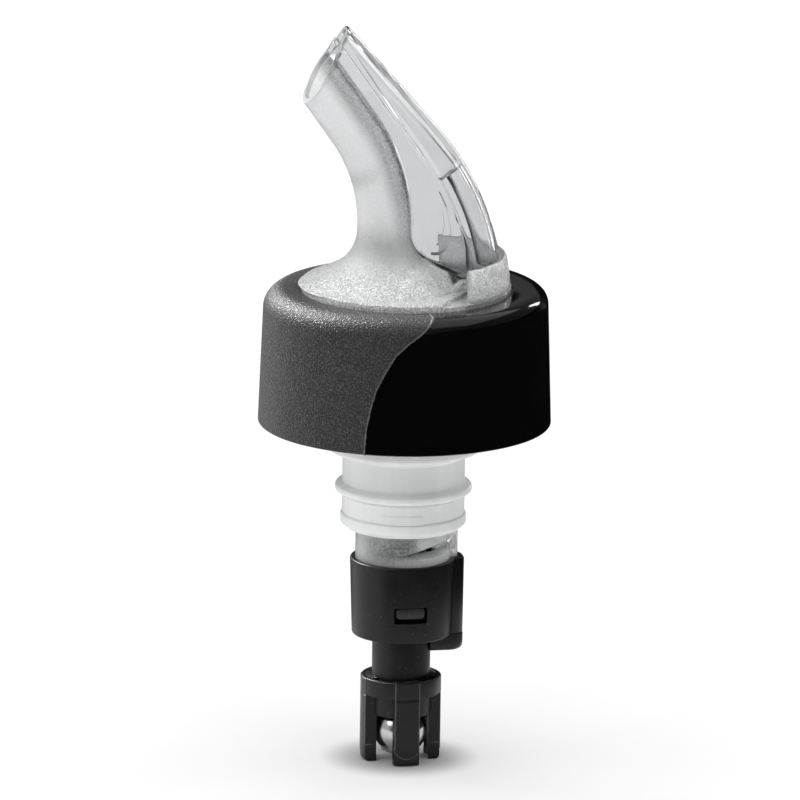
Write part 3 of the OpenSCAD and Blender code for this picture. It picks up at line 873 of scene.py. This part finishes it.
def side_pocket(sign):
    """The shallow pocket with a bowed back in the foot of the web's side."""
    front = [(3.3, 84.6, 0.3), (3.3, 96.1, 0.2)]
    back = [(4.6, 95.0, 2.5), (5.9, 92.0, 4), (6.6, 88.4, 3), (6.0, 85.6, 1.5), (4.6, 84.6, 1)]
    plan = rounded(front + back, 8)
    middle = plan.mean(axis=0)
    depths = ((3.5, 0.9), (3.53, 0.96), (3.62, 1.02), (4.5, 1.02))
    rows = [upright(middle + (plan - middle) * grow, sign * y) for y, grow in depths]
    return lofted("side_pocket", rows)


def pour_spout():
    """The clear moulding: body, flange, cuff and stem, with all its hollows."""
    body = lofted("spout_moulding", spout_sections())
    shaped(body, past_mouth(0))
    recess = lofted("recess", spout_sections(0.75))
    shaped(recess, past_mouth(0.65), "INTERSECT")
    shaped(body, recess)
    top = max((v.co for v in body.data.vertices), key=lambda co: co.z)
    shaped(body, tip_rounding(np.array((top.x, top.z)) / MM))
    disc = drum("flange", FLANGE_R, FLANGE_LOW_Z, FLANGE_Z, 260, (0.25, 0.35))
    # behind the flare the flange steps down along a bowed line
    bow = [(2.4, 17.8), (2.9, 16.2), (4.0, 14.3), (5.5, 12.3), (7.2, 10.0), (8.7, 7.4), (9.9, 4.4)]
    plan = bow + [(10.35, 0)] + [(x, -y) for x, y in bow[::-1]] + [(19, -17.8), (19, 17.8)]
    shaped(disc, prism("step", plan, FLANGE_Z - 0.55, FLANGE_Z + 1))
    stem = drum("stem", STEM_R, STEM_LOW_Z, 78.3, 160, (0.3, 0))
    shaped(stem, drum("boss", 1.6, 26.0, 78.3, 64, (0.3, 0), AIR_AXIS), "UNION")
    for part in (disc, cuff(), stem):
        shaped(body, part, "UNION")
    for sign in (-1, 1):
        shaped(body, side_pocket(sign))
    skin = BVHTree.FromPolygons(
        [v.co for v in body.data.vertices], [p.vertices for p in body.data.polygons]
    )
    # the balls' well, the chamber and the tube's bore
    well = [(0, 27.5, 0), (6.4, 27.5, 0), (6.4, 42, 0.3), (3, 42, 0), (3, 45, 0), (0, 45, 0)]
    shaped(body, turned("well", rounded(well), 128))
    shaped(body, drum("chamber", 5, 44.9, FLANGE_LOW_Z, 96, (0.3, 0.8), (-1.4, 0)))
    shaped(body, swept_rod("bore", centre_line(76, 17), BORE_R))
    # the air passage and the two hollows of the air ridge
    line = arc_points(RIDGE_MIDDLE, RIDGE_BEND_R, 10.5, 31.5, 30)
    low_end = drum("low_end", 1.45, -1.4, 1.4, 64, (1.2, 1.2))
    low_end.data.transform(Matrix.Translation(Vector((line[0][0], 0, line[0][1])) * MM))
    air_bore = drum("air_bore", 0.95, 25, 76, 48, centre=AIR_AXIS)
    for tool in (upper_core(), swept_rod("lower_pin", line, 1.45, 1.3), low_end, air_bore):
        shaped(body, tool)
    port = inlet_port()
    other = in_scene("port", port.data.copy())
    other.data.transform(Matrix.Scale(-1, 4, Vector((0, 1, 0))))
    other.data.flip_normals()
    shaped(body, port)
    shaped(body, other)

    def marked(key, test):
        """Marks the faces that pass a test."""
        values = [float(test(face.center, face.normal)) for face in body.data.polygons]
        body.data.attributes.new(key, "FLOAT", "FACE").data.foreach_set("value", values)

    def takes_no_tint(place, _):
        """The hollows' walls and the thin cuff."""
        on_cuff = place.z > 79.3 * MM and place.x > 7 * MM and place.xy.length > 14.9 * MM
        return on_cuff or skin.find_nearest(place)[3] > 0.05 * MM

    outwards = Vector((-math.sin(MOUTH_TILT), 0, math.cos(MOUTH_TILT)))
    start = Vector((MOUTH[0], 0, MOUTH[1])) * MM
    marked("inner", takes_no_tint)
    # the sloping end of the mouth is frosted
    marked("end", lambda p, n: (p - start).dot(outwards) > -0.7 * MM and n.dot(outwards) > 0.9)
    return frosted(body)


def frosted(body):
    """Marks where the moulding is frosted: the tube, the flare's front, the rim, cuff and stem, and
    where painted shade darkens it.
    """
    mesh = body.data
    x, y, z = in_mm(mesh.vertices)
    from_axis = np.hypot(x, y)
    cuff_r, cuff_outer_r, stem_r, stem_top = 14.9, 15.8, 7, 77
    # how far towards the back each point lies from the tube's axis
    turn = np.clip(np.arctan2(z - BEND_Z, x - BEND_X), 0, BEND)
    in_bend = z > BEND_Z
    along_bend = (x - BEND_X) * np.cos(turn) + (z - BEND_Z) * np.sin(turn) - BEND_R
    back = np.where(in_bend, along_bend, x - TUBE_X)
    out = np.hypot(back, y)
    radius = np.array([flare_radius(h) for h in np.where(in_bend, 100.0, z)])
    skin = np.clip(1.2 - np.abs(out - radius) / 0.6, 0, 1)
    crease = np.sqrt(np.maximum(radius**2 - WEB_HALF**2, 1))
    limit = np.where(z < 84, 9.3, np.minimum(crease, 5.5))
    front = np.clip((limit - back) / 0.5 + 0.5, 0, 1)
    frost = skin * front
    on_top = (z > FLANGE_Z - 0.6) & (z < 80.3) & (from_axis < 16.5) & (out > radius - 1)
    frost = np.where(on_top, 1.0, frost)
    on_rim = (z < FLANGE_Z + 0.02) & (z > stem_top) & (from_axis > 10)
    frost = np.where(on_rim, np.clip((8 - x) / 3, 0.25, 1), frost)
    on_cuff = (from_axis > cuff_r) & (x > 7.5) & (z > 79.2)
    outside = np.where(y > 4, 0.3, 0.8)
    frost = np.where(on_cuff, np.where(from_axis > cuff_outer_r, outside, 0.15), frost)
    frost = np.where(z < stem_top, np.where(from_axis > stem_r, 0.85, 0.3), frost)
    # the flare and the cuff are brighter than the tube
    low = np.clip((84.5 - z) / 3.5, 0, 1) * (z > stem_top)
    flare = np.where(on_cuff | on_rim, 0.85, low * 0.85) * np.clip(frost * 1.5, 0, 1)
    # the frosted wall is thick beside the web; painted shade darkens it towards the crease
    ahead = crease + 0.25 - back
    shade = np.interp(ahead, [0.6, 0.95, 2.3, 3.1, 4.3], [1, 0.82, 0.6, 0.28, 0]) * skin
    shade *= np.interp(z, [81.5, 85, 90, 95], [0, 0.5, 0.75, 1])
    shade = np.where((z > 80) & (np.abs(y) > 1.5), shade, 0)
    # a light painted shade over the outside of the stem
    shade = np.where((z < 60) & (from_axis > stem_r), 0.12, shade)
    # painted shade in a soft curved band on the inner side of the bend
    painted_bend_shade = np.exp(-(((z - 96.5 - 0.55 * (back + radius)) / 1.3) ** 2))
    painted_bend_shade *= np.clip((2.5 - back) / 7, 0, 1)
    shade = np.maximum(shade, np.where(z > 85, 0.3 * painted_bend_shade * skin, 0))
    # and painted shade, a little darker, where the tube runs out into the flare
    foot = 0.17 * np.exp(-(((z - 87.5) / 3.2) ** 2)) * skin
    shade = np.maximum(shade, np.where(z > 80, foot, 0))
    for key, values in (("frost", frost), ("shade", shade), ("flare", flare)):
        layer = mesh.attributes.new(key, "FLOAT", "POINT")
        layer.data.foreach_set("value", values.astype(np.float32))
    return body


# Collar

# The line between the matte front and the polished back: angle from -Y towards +X, height.
PARTING = np.column_stack(
    [
        (-26.4, -25.7, -24.0, -22.0, -18.7, -14.6, -9.5, -3.5, 1.7),
        (56.3, 60.6, 64.2, 67.0, 69.8, 72.7, 74.7, 76.5, 78.4),
    ]
)


def parting_gap(folded, height, radius):
    """Distance along the wall to the parting line, positive on the polished side."""
    line = np.interp(height, PARTING[:, 1], PARTING[:, 0])
    slope = np.interp(height, PARTING[:, 1], np.gradient(PARTING[:, 0], PARTING[:, 1]))
    return np.radians(folded - line) * radius / np.sqrt(1 + (np.radians(slope) * radius) ** 2)


def folded_angle(angle):
    """The angle from -Y, where the far side mirrors the near one."""
    turn = (angle + 180) % 360 - 180
    return np.where(turn > 90, 180 - turn, np.where(turn < -90, -180 - turn, turn))


def collar():
    """The collar with its crest along the parting line, its two finishes and the crest's pale
    painted highlight.
    """
    low_r, top_r, low_z, top_z, wall = 23.66, 22.9, 56.3, 78.4, 1.6
    recess_r, hub_r, hole_r, plate_z = 17.2, 10.5, 8.0, 75.9
    foot_steps, shoulder_steps, small_steps = 4, 30, 3
    crest_h, crest_w, crest_half = 0.14, 0.13, 0.11
    rows_up = np.concatenate([np.linspace(0, 0.62, 34), np.linspace(0.62, 1, 62)[1:]])

    def profile(shoulder):
        """The section, with the rounded foot, then the wall and the shoulder."""
        outline = rounded(
            [
                (low_r, low_z, 0.25, foot_steps), (top_r, top_z, shoulder, shoulder_steps),
                (recess_r, top_z, 0.2, small_steps), (recess_r, FLANGE_LOW_Z, 0),
                (hole_r, FLANGE_LOW_Z, 0), (hole_r, STOPPER_TOP_Z, 0),
                (hub_r, STOPPER_TOP_Z, 0.2, small_steps), (hub_r, plate_z, 0.4, small_steps),
                (top_r - 3.5, plate_z, 0),
                (top_r - wall, 74.0, 0), (low_r - wall, low_z, 0.2, small_steps),
            ]
        )
        top_of_foot, end = outline[foot_steps], outline[foot_steps + 1]
        upwards = top_of_foot + (end - top_of_foot) * rows_up[:, None]
        return np.vstack([outline[:foot_steps], upwards, outline[foot_steps + 2 :]])

    matte_side, glossy_side = profile(3.5), profile(2.4)
    outside = np.arange(len(matte_side)) < foot_steps + len(rows_up) + shoulder_steps + small_steps
    fine = np.linspace(-29, 5, 170)
    fine = np.concatenate([fine, 180 - fine[::-1]])
    rest = np.concatenate([np.linspace(5, 175, 90)[1:-1], np.linspace(209, 331, 70)[1:-1]])
    rows = []
    for angle in np.sort(np.concatenate([fine, rest]) % 360):
        folded = folded_angle(angle)
        share = np.clip((folded + 12) / 24, 0, 1)
        share = share * share * (3 - 2 * share)
        outline = matte_side * (1 - share) + glossy_side * share
        gap = parting_gap(folded, outline[:, 1], outline[:, 0])
        lift = np.where(outside, crest_h * np.exp(-((gap / crest_w) ** 2)), 0)
        edge = np.column_stack([np.gradient(outline[:, 1]), -np.gradient(outline[:, 0])])
        edge /= np.linalg.norm(edge, axis=1)[:, None] + 1e-9
        rows.append(swung(outline + edge * lift[:, None], math.radians(angle - 90)))
    faces = band(len(rows), len(rows[0]), True)
    piece = solid("collar_shell", np.array(rows).reshape(-1, 3), faces)
    dressed(piece, COLLAR_MATTE, "collar", angle=50)
    piece.data.materials.append(COLLAR_GLOSS)
    piece.data.materials.append(COLLAR_CREST_HIGHLIGHT)
    x, y, z = in_mm(piece.data.polygons, "center")
    radius = np.hypot(x, y)
    gap = parting_gap(folded_angle(np.degrees(np.arctan2(x, -y))), z, radius)
    # the crest takes the pale painted-highlight material
    skin = np.where(np.abs(gap) < crest_half, 2, np.where(gap > 0, 1, 0))
    skin = np.where((radius > 22.3) | (z > 76.2), skin, 0)
    piece.data.polygons.foreach_set("material_index", skin.astype(np.int32))


# Stopper, sleeve, metering tube, cage and cap


def stopper():
    """The soft plug with its bead, its sealing rib and its flange."""
    outline = rounded(
        [
            (8.05, 38.9, 0.2), (9.2, 38.9, 0.3), (10.15, 39.7, 0.35), (10.15, 41.15, 0.2),
            (9.7, 41.3, 0.05), (9.7, 41.45, 0.05), (9.9, 41.5, 0.05), (9.9, 44.3, 0.05),
            (9.72, 44.4, 0.05), (9.72, 44.62, 0.05), (11.05, 44.95, 0.5), (11.05, 45.95, 0.5),
            (9.9, 46.5, 0.35), (9.9, 50.9, 0.3), (10.4, 51.3, 0.3), (10.4, 51.9, 0.25),
            (12.8, 51.9, 0.8), (12.8, STOPPER_TOP_Z, 0.8), (8.05, STOPPER_TOP_Z, 0),
        ],
        7,
    )
    piece = turned("stopper_plug", outline, 180)
    # a shallow raised panel just above the bead, moulded on the front and the back
    low, high = 41.3, 42.75
    pad = rounded([(9.5, low, 0), (10.04, low, 0), (10.04, high, 0.05), (9.5, high, 0)], 3)
    for turn in (-11.0, 169.0):
        wide = np.radians(np.linspace(-18.5, 18.5, 40) + turn - 90)
        shaped(piece, lofted("panel", [swung(pad, t) for t in wide]), "UNION")
    return piece


def tongue(start, grow):
    """Plan of the air passage's flat-sided housing, from start to its rounded end."""
    half, end, soft = 2.55 + grow, 9.94 + grow, 1.9
    corners = [(start, -half, 0), (end, -half, soft), (end, half, soft), (start, half, 0)]
    return rounded(corners, 12)


def housing(name, start, levels):
    """The air passage's housing through levels of (height, growth)."""
    return lofted(name, [level(tongue(start, grow), z) for z, grow in levels])


def coupling_sleeve():
    """The cup round stem and metering tube, with the housing of the air passage."""
    low, top = 21.0, 33.7
    outline = rounded([(0, low, 0), (8.06, low, 0.35), (8.5, top, 0.3), (0, top, 0)])
    body = turned("sleeve_cup", outline, 200)
    levels = [(low, -0.15), (21.05, -0.08), (21.15, -0.04)]
    levels += [(33.3, 0.05), (33.5, -0.02), (33.62, -0.1), (top, -0.25)]
    shaped(body, housing("lobe", 5.0, levels), "UNION")
    # inside: the way for the metering tube, the room for its cup and the stem's socket
    cup_r, stem_r, floor_z = 6.9, 7.72, 22.2
    inside = rounded(
        [
            (0, 20, 0), (NECK_WAY_R, 20, 0), (NECK_WAY_R, floor_z, 0), (cup_r, floor_z, 0.3),
            (cup_r, STEM_LOW_Z, 0), (stem_r, STEM_LOW_Z, 0), (stem_r, 35, 0), (0, 35, 0),
        ],
        4,
    )
    shaped(body, turned("inside", inside, 160))
    # the air passage has its own wall inside the cup
    shaped(body, drum("air_wall", 2.5, 22.1, STEM_LOW_Z, 96, centre=AIR_AXIS), "UNION")
    way = [(0, 20), (2.16, 20), (2.16, 21.96), (1.79, 21.96)]
    way += [(1.79, 26), (1.66, 26), (1.66, 35), (0, 35)]
    shaped(body, turned("air_way", way, 64, AIR_AXIS))
    low, high, half = 24.38, 27.03, 2.7
    corners = [(-half, low, 0.3), (half, low, 0.3), (half, high, 0.3), (-half, high, 0.3)]
    window = rounded(corners, 4)
    for sign in (-1, 1):
        shaped(body, lofted("window", [upright(window, sign * y) for y in (6.2, 10)]))
    return body


def metering_tube():
    """The neck with the check ball's skirt, the guide fingers and the cup with its latches."""
    outline = rounded(
        [
            (4.5, 7.7, 0.15), (5.1, 7.7, 0.2), (5.1, 12.4, 0.15), (4.72, 12.6, 0.1),
            (4.72, 38.5, 0.2), (3.85, 38.5, 0.2), (3.85, 14.55, 0.1), (1.8, 12.5, 0.1),
            (1.8, 11.7, 0.1), (4.5, 9.0, 0.1),
        ],
        5,
    )
    piece = turned("meter_tube", outline, 144)
    for turn in (45, 135):
        slot = prism("slot", [(-2.2, -8), (2.2, -8), (2.2, 8), (-2.2, 8)], 33, 40)
        slot.data.transform(Matrix.Rotation(math.radians(turn), 4, "Z"))
        shaped(piece, slot)
    corners = [(4.6, 22.3, 0), (6.85, 22.3, 0.2), (6.85, 28.0, 0.2)]
    corners += [(6.0, 28.0, 0.2), (6.0, 23.4, 0.3), (4.6, 23.4, 0)]
    cup = turned("cup", rounded(corners, 4), 120)
    shaped(cup, drum("wall_way", 2.6, 21.5, 29, 96, centre=AIR_AXIS))
    # each latch is a bar with rounded lower corners, a fine notch and a sloping face
    notch = [(-0.1, 25.2, 0.2), (0.0, 25.32, 0.1), (0.1, 25.2, 0.2)]
    top = [(2.35, 25.25, 0.55), (2.35, 26.75, 0.25), (-2.35, 26.75, 0.25)]
    bar = rounded([(-2.35, 25.25, 0.55), *notch, *top], 5)
    middle_z, slope = 26.0, -0.4
    above = bar[:, 1] - middle_z
    pads = []
    for sign in (-1, 1):
        rows = []
        for y, shrink, drop in ((6.3, 1.0, 0.0), (7.3, 1.0, 0.0), (7.55, 0.97, 0.04)):
            height = middle_z + above * shrink - drop
            rows.append(np.column_stack([bar[:, 0] * shrink, sign * (y + above * slope), height]))
        # the latch's outer face gets a painted highlight
        pads.append(with_painted_highlight(lofted("latch", rows), lambda x, y, z: 0.6 * (np.abs(y) > 6.8)))
    return joined(piece, cup, *pads)


def with_painted_highlight(piece, share):
    """Marks the painted highlights on a black piece, as a share of its places in millimetres."""
    values = share(*in_mm(piece.data.vertices)).astype(np.float32)
    piece.data.attributes.new("edge", "FLOAT", "POINT").data.foreach_set("value", values)
    return piece


def foot_curve(z, r):
    """How far an edge rounded by r steps back at a height above its foot."""
    return r - math.sqrt(max(r**2 - (r - z) ** 2, 0)) if z < r else 0.0


def prong():
    """One prong, in front of the axis, with the U-shaped step at its foot."""
    half_w, face_r, inner_r = 2.075, 6.53, 4.745
    step, groove_z = 0.09, 11.14

    def step_line(across):
        """Height of the U-shaped step over the prong's width."""
        return 3.05 - 1.75 * np.sqrt(np.clip(1 - (across / (half_w + 0.02)) ** 2, 0, 1))

    def edges(x, y, z):
        """Where the painted highlights go: the outer edges and the step at the foot."""
        side = (np.abs(x) > 0.93 * half_w) & (np.abs(x) < 0.99 * half_w) & (z > 3)
        return (side | (np.abs(z - step_line(x)) < step)) & (np.hypot(x, y) > face_r - 0.32)

    lateral = np.concatenate([[-1.0], np.linspace(-0.985, 0.985, 41), [1.0]]) * half_w
    heights = np.concatenate(
        [
            [0.0, 0.03, 0.08, 0.16, 0.26, 0.38, 0.52, 0.66],
            np.linspace(0.8, 3.6, 40),
            np.linspace(3.9, 10.7, 12),
            [10.95, 11.02, 11.08, 11.2, 11.26, 11.34],
            np.linspace(11.6, 13.7, 6),
            [13.85, 13.93, 13.97],
        ]
    )
    rows = []
    for z in heights:
        narrow = foot_curve(z, 0.15)
        a = lateral * (half_w - narrow) / half_w
        inset = step * (1 - np.clip((z - step_line(lateral)) / step + 0.5, 0, 1))
        groove = 0.16 * math.exp(-(((z - groove_z) / 0.09) ** 2))
        soft = 0.12 * (np.abs(lateral) > half_w * 0.99)
        top = 0.15 if z > 13.95 else (0.07 if z > 13.9 else 0.0)
        r = face_r - inset - groove - soft - foot_curve(z, 0.75) - top
        outer = np.column_stack([a, -np.sqrt(np.maximum(r**2 - a**2, 1))])
        a = np.linspace(1, -1, 15) * (half_w - narrow - 0.02)
        inner = np.column_stack([a, -np.sqrt(inner_r**2 - a**2) - narrow * 0.5])
        rows.append(level(np.vstack([outer, inner]), z))
    # the prong's outer edges and foot step get painted highlights
    return with_painted_highlight(lofted("prong", rows), edges)


def hook():
    """The hook inside the front prong, which the check ball rests on."""
    tip_r, root_r, tip_h, root_h = 3.395, 5.3, 2.0, 2.6
    rows = []
    for a in np.concatenate([[-1.4, -1.36], np.linspace(-1.28, 1.28, 13), [1.36, 1.4]]):
        soft = 0.06 if abs(a) > 1.39 else 0.0
        tip, root = -math.sqrt(tip_r**2 - a**2) - soft, -math.sqrt(root_r**2 - a**2)
        upper = [(tip, tip_h - soft, 0.1), (root, root_h - soft, 0)]
        side = rounded([(tip, soft, 0.2), *upper, (root, soft, 0)], 4)
        rows.append(np.column_stack([np.full(len(side), a), side]))
    return lofted("hook", rows)


def ball_cage():
    """The ring that snaps on the skirt, with its four prongs and two hooks."""
    ring = turned(
        "cage",
        rounded(
            [
                (5.15, 11.2, 0.1), (6.45, 11.2, 0.12), (6.45, 14.0, 0.22), (5.75, 14.0, 0.1),
                (5.45, 13.45, 0.1), (4.95, 13.35, 0.1), (4.95, 12.75, 0.1), (5.15, 12.6, 0),
            ],
            5,
        ),
        160,
    )
    # a painted highlight round the ring's top outer edge
    with_painted_highlight(ring, lambda x, y, z: 0.5 * ((np.hypot(x, y) > 6.27) & (z > 13.85)))
    group = ring_of_prongs_group()
    for one, count in ((prong(), 4), (hook(), 2)):
        run_nodes(ring, group, {"Prong": one, "Count": count, "Material": BLACK})
        bpy.data.objects.remove(one)
    return ring


def breather_cap():
    """The cap under the housing, with its rim, the way for the small ball and its hole."""
    levels = [(18.1, -0.9), (18.2, -0.55), (18.4, -0.28), (18.75, -0.1)]
    levels += [(19.2, -0.02), (19.6, 0), (20.85, 0), (20.93, -0.08)]
    piece = housing("air_cap", 4.3, levels)
    rim = rounded([(0, 20.5, 0), (2.1, 20.5, 0), (2.1, 21.9, 0.1), (0, 21.9, 0)], 3)
    shaped(piece, turned("rim", rim, 64, AIR_AXIS), "UNION")
    way = rounded([(0, 19.2, 0), (1.79, 19.2, 0.1), (1.79, 23, 0), (0, 23, 0)], 3)
    shaped(piece, turned("way", way, 64, AIR_AXIS))
    shaped(piece, drum("hole", 0.9, 17, 20, 48, centre=AIR_AXIS))
    shaped(piece, drum("neck_way", NECK_WAY_R, 17, 23, 128))
    return piece


dressed(pour_spout(), CLEAR, "pour_spout", angle=38)
collar()
dressed(stopper(), STOPPER, "stopper")
dressed(coupling_sleeve(), BLACK, "coupling_sleeve")
dressed(metering_tube(), BLACK, "metering_tube")
dressed(ball_cage(), BLACK, "ball_cage", angle=40)
dressed(breather_cap(), BLACK, "breather_cap")

for name in ("check_ball", "cutoff_ball", "breather_ball"):
    ball = frame["nodes"][name]
    ball.data.materials.clear()
    ball.data.materials.append(STEEL)


# Camera


def place_camera():
    """The camera at the photo's angles, so far off that it takes 6.2 pixels a millimetre."""
    azimuth, elevation, distance = math.radians(-10.8), math.radians(14.3), 2.5
    roll, sensor, width, scale = math.radians(0.785), 36, 800, 6.2
    aim_z, aside = 59.7, 0.74
    back = Vector(
        (
            math.sin(azimuth) * math.cos(elevation),
            -math.cos(azimuth) * math.cos(elevation),
            math.sin(elevation),
        )
    )
    right = Vector((math.cos(azimuth), math.sin(azimuth), 0))
    aim = Vector((0, 0, aim_z * MM)) - right * aside * MM
    data = bpy.data.cameras.new("camera")
    data.sensor_width = sensor
    data.lens = sensor * distance / (width / scale * MM)
    data.clip_start, data.clip_end = 0.05, 20
    camera = bpy.data.objects.new("camera", data)
    bpy.context.scene.collection.objects.link(camera)
    camera.rotation_mode = "QUATERNION"
    camera.location = aim + back * distance
    look = (-back).to_track_quat("-Z", "Y")
    camera.rotation_quaternion = look @ Matrix.Rotation(roll, 3, "Z").to_quaternion()
    bpy.context.scene.camera = camera


place_camera()


# Floor and light


def floor():
    """The white floor, with a painted soft contact shadow round the foot."""
    mesh = bpy.data.meshes.new("floor")
    half = 2.5
    corners = [(-half, -half, 0), (half, -half, 0), (half, half, 0), (-half, half, 0)]
    mesh.from_pydata(corners, [], [(0, 1, 2, 3)])
    piece = in_scene("floor", mesh)
    paint = Paint("floor", {"Roughness": 0.9, "Specular IOR Level": 0.0})
    tone = paint.noise(400, 1.0)
    pale = paint.blend(tone, (0.86, 0.86, 0.86, 1), (0.88, 0.88, 0.88, 1))
    away = paint.node("ShaderNodeVectorMath", {0: paint.place}, output="Value", operation="LENGTH")
    # painted contact shadow: the floor colour darkens near the axis
    painted_shadow = 1 - away.step(6.5 * MM, 14 * MM)
    mesh.materials.append(paint.feed(colour=paint.blend(painted_shadow * 0.45, pale, (0, 0, 0, 1))))
    return piece


def dark_card():
    """A dark card round the front and right, seen only in reflections, that fades to the left."""
    radius, steps = 0.075, 120
    turn = np.radians(np.linspace(0, 360, steps, endpoint=False))
    ring = radius * np.column_stack([np.cos(turn), np.sin(turn)])
    points = np.vstack([level(ring, z) for z in (0.0005, 0.095)])
    mesh = bpy.data.meshes.new("dark_card")
    mesh.from_pydata(points.tolist(), [], band(2, steps, False))
    card = in_scene("dark_card", mesh)
    paint = Paint("dark_card", {"Specular IOR Level": 0.0, "Roughness": 1.0})
    tone = paint.noise(100, 1.0)
    x, y, _ = paint.axes(paint.place)
    bright_side = (y * 0.17 - x * 0.985) / radius
    through = paint.node("ShaderNodeLightPath", output="Is Transmission Ray")
    dark = paint.feed(
        colour=paint.blend(tone, (0.004, 0.004, 0.004, 1), (0.006, 0.006, 0.006, 1)),
        alpha=(1 - bright_side.step(0.5, 0.85)) * (1 - through),
    )
    mesh.materials.append(dark)
    card.visible_camera = card.visible_diffuse = False
    card.visible_transmission = card.visible_shadow = False


def soft_light(name, place, aim, size, power):
    """A rectangular lamp that the camera doesn't see."""
    data = bpy.data.lights.new(name, "AREA")
    data.shape = "RECTANGLE"
    data.size, data.size_y = size
    data.energy = power
    light = bpy.data.objects.new(name, data)
    bpy.context.scene.collection.objects.link(light)
    light.location = place
    light.rotation_mode = "QUATERNION"
    light.rotation_quaternion = (Vector(aim) - Vector(place)).to_track_quat("-Z", "Y")
    light.visible_camera = False
    return light


def lit_only(name, lights, pieces, state="INCLUDE"):
    """Lets lights reach only these pieces, or all but these where the state is EXCLUDE."""
    group = bpy.data.collections.new(name)
    for piece in pieces:
        group.objects.link(piece)
    for held in group.collection_objects:
        held.light_linking.link_state = state
    for light in lights:
        light.light_linking.receiver_collection = group


def surroundings():
    """The room: white to the camera, darker in reflections and through the clear plastic."""
    world = bpy.data.worlds.new("studio")
    bpy.context.scene.world = world
    world.use_nodes = True
    tree = Tree(world.node_tree)
    back = world.node_tree.nodes["Background"]
    x, _, z = tree.axes(tree.node("ShaderNodeTexCoord", output="Generated"))
    left = (0 - x).step(-0.3, 0.9)
    above = z.step(0.5, 1.0)
    tone = 0.13 + left * 0.38 + above * 0.2
    seen = tree.node("ShaderNodeLightPath", output="Is Camera Ray")
    through = tree.node("ShaderNodeLightPath", output="Transmission Depth").step(0.0, 1.0)
    tone = tone * (1 - through) + through * (0.45 + left * 0.25 + above * 0.2)
    strength = tone * (1 - seen) + seen * 1.05
    world.node_tree.links.new(strength.socket, back.inputs["Strength"])
    back.inputs["Color"].default_value = (1, 1, 1, 1)


ground = floor()
dark_card()
surroundings()
key = soft_light("key", (-0.65, -0.4, 0.6), (0, 0, 0.06), (0.5, 0.5), 2.4)
back_left = soft_light("back_left", (-0.45, 0.62, 0.6), (0, 0, 0.07), (0.34, 0.34), 17.0)
rim = soft_light("rim", (0.45, 0.45, 0.15), (0, 0, 0.07), (0.08, 0.5), 1.2)
soft_light("top", (0.0, 0.1, 1.1), (0, 0, 0.0), (1.8, 1.8), 9.0)
# the side lights' shadows are kept off the floor, as on a lit table
pieces = bpy.data.objects
spout, plug, shell = pieces["spout_moulding"], pieces["stopper_plug"], pieces["collar_shell"]
lit_only("not_the_floor", (rim,), (ground,), "EXCLUDE")
lit_only("not_the_collar", (key,), (ground, shell), "EXCLUDE")
lit_only("not_the_pale", (back_left,), (ground, spout, plug), "EXCLUDE")
around = [
    soft_light("around", (1.1 * math.cos(t), 1.1 * math.sin(t), 0.5), (0, 0, 0), (1.0, 1.0), 3.6)
    for t in np.radians((0, 60, 120, 180, 240, 300))
]
lit_only("the_floor", around, (ground,))
for name, place, power, piece in (
    ("spout_fill", (0.6, -0.45, 0.4), 3.7, spout),
    ("plug_fill", (0.6, -0.45, 0.4), 1.0, plug),
    ("spout_back", (-0.56, 0.31, 0.72), 6.5, spout),
):
    lit_only(name, (soft_light(name, place, (0, 0, 0.07), (0.4, 0.4), power),), (piece,))

scene = bpy.context.scene
scene.view_settings.view_transform = "Standard"
scene.view_settings.look = "None"
scene.view_settings.exposure = 0.0
scene.view_settings.gamma = 1.0
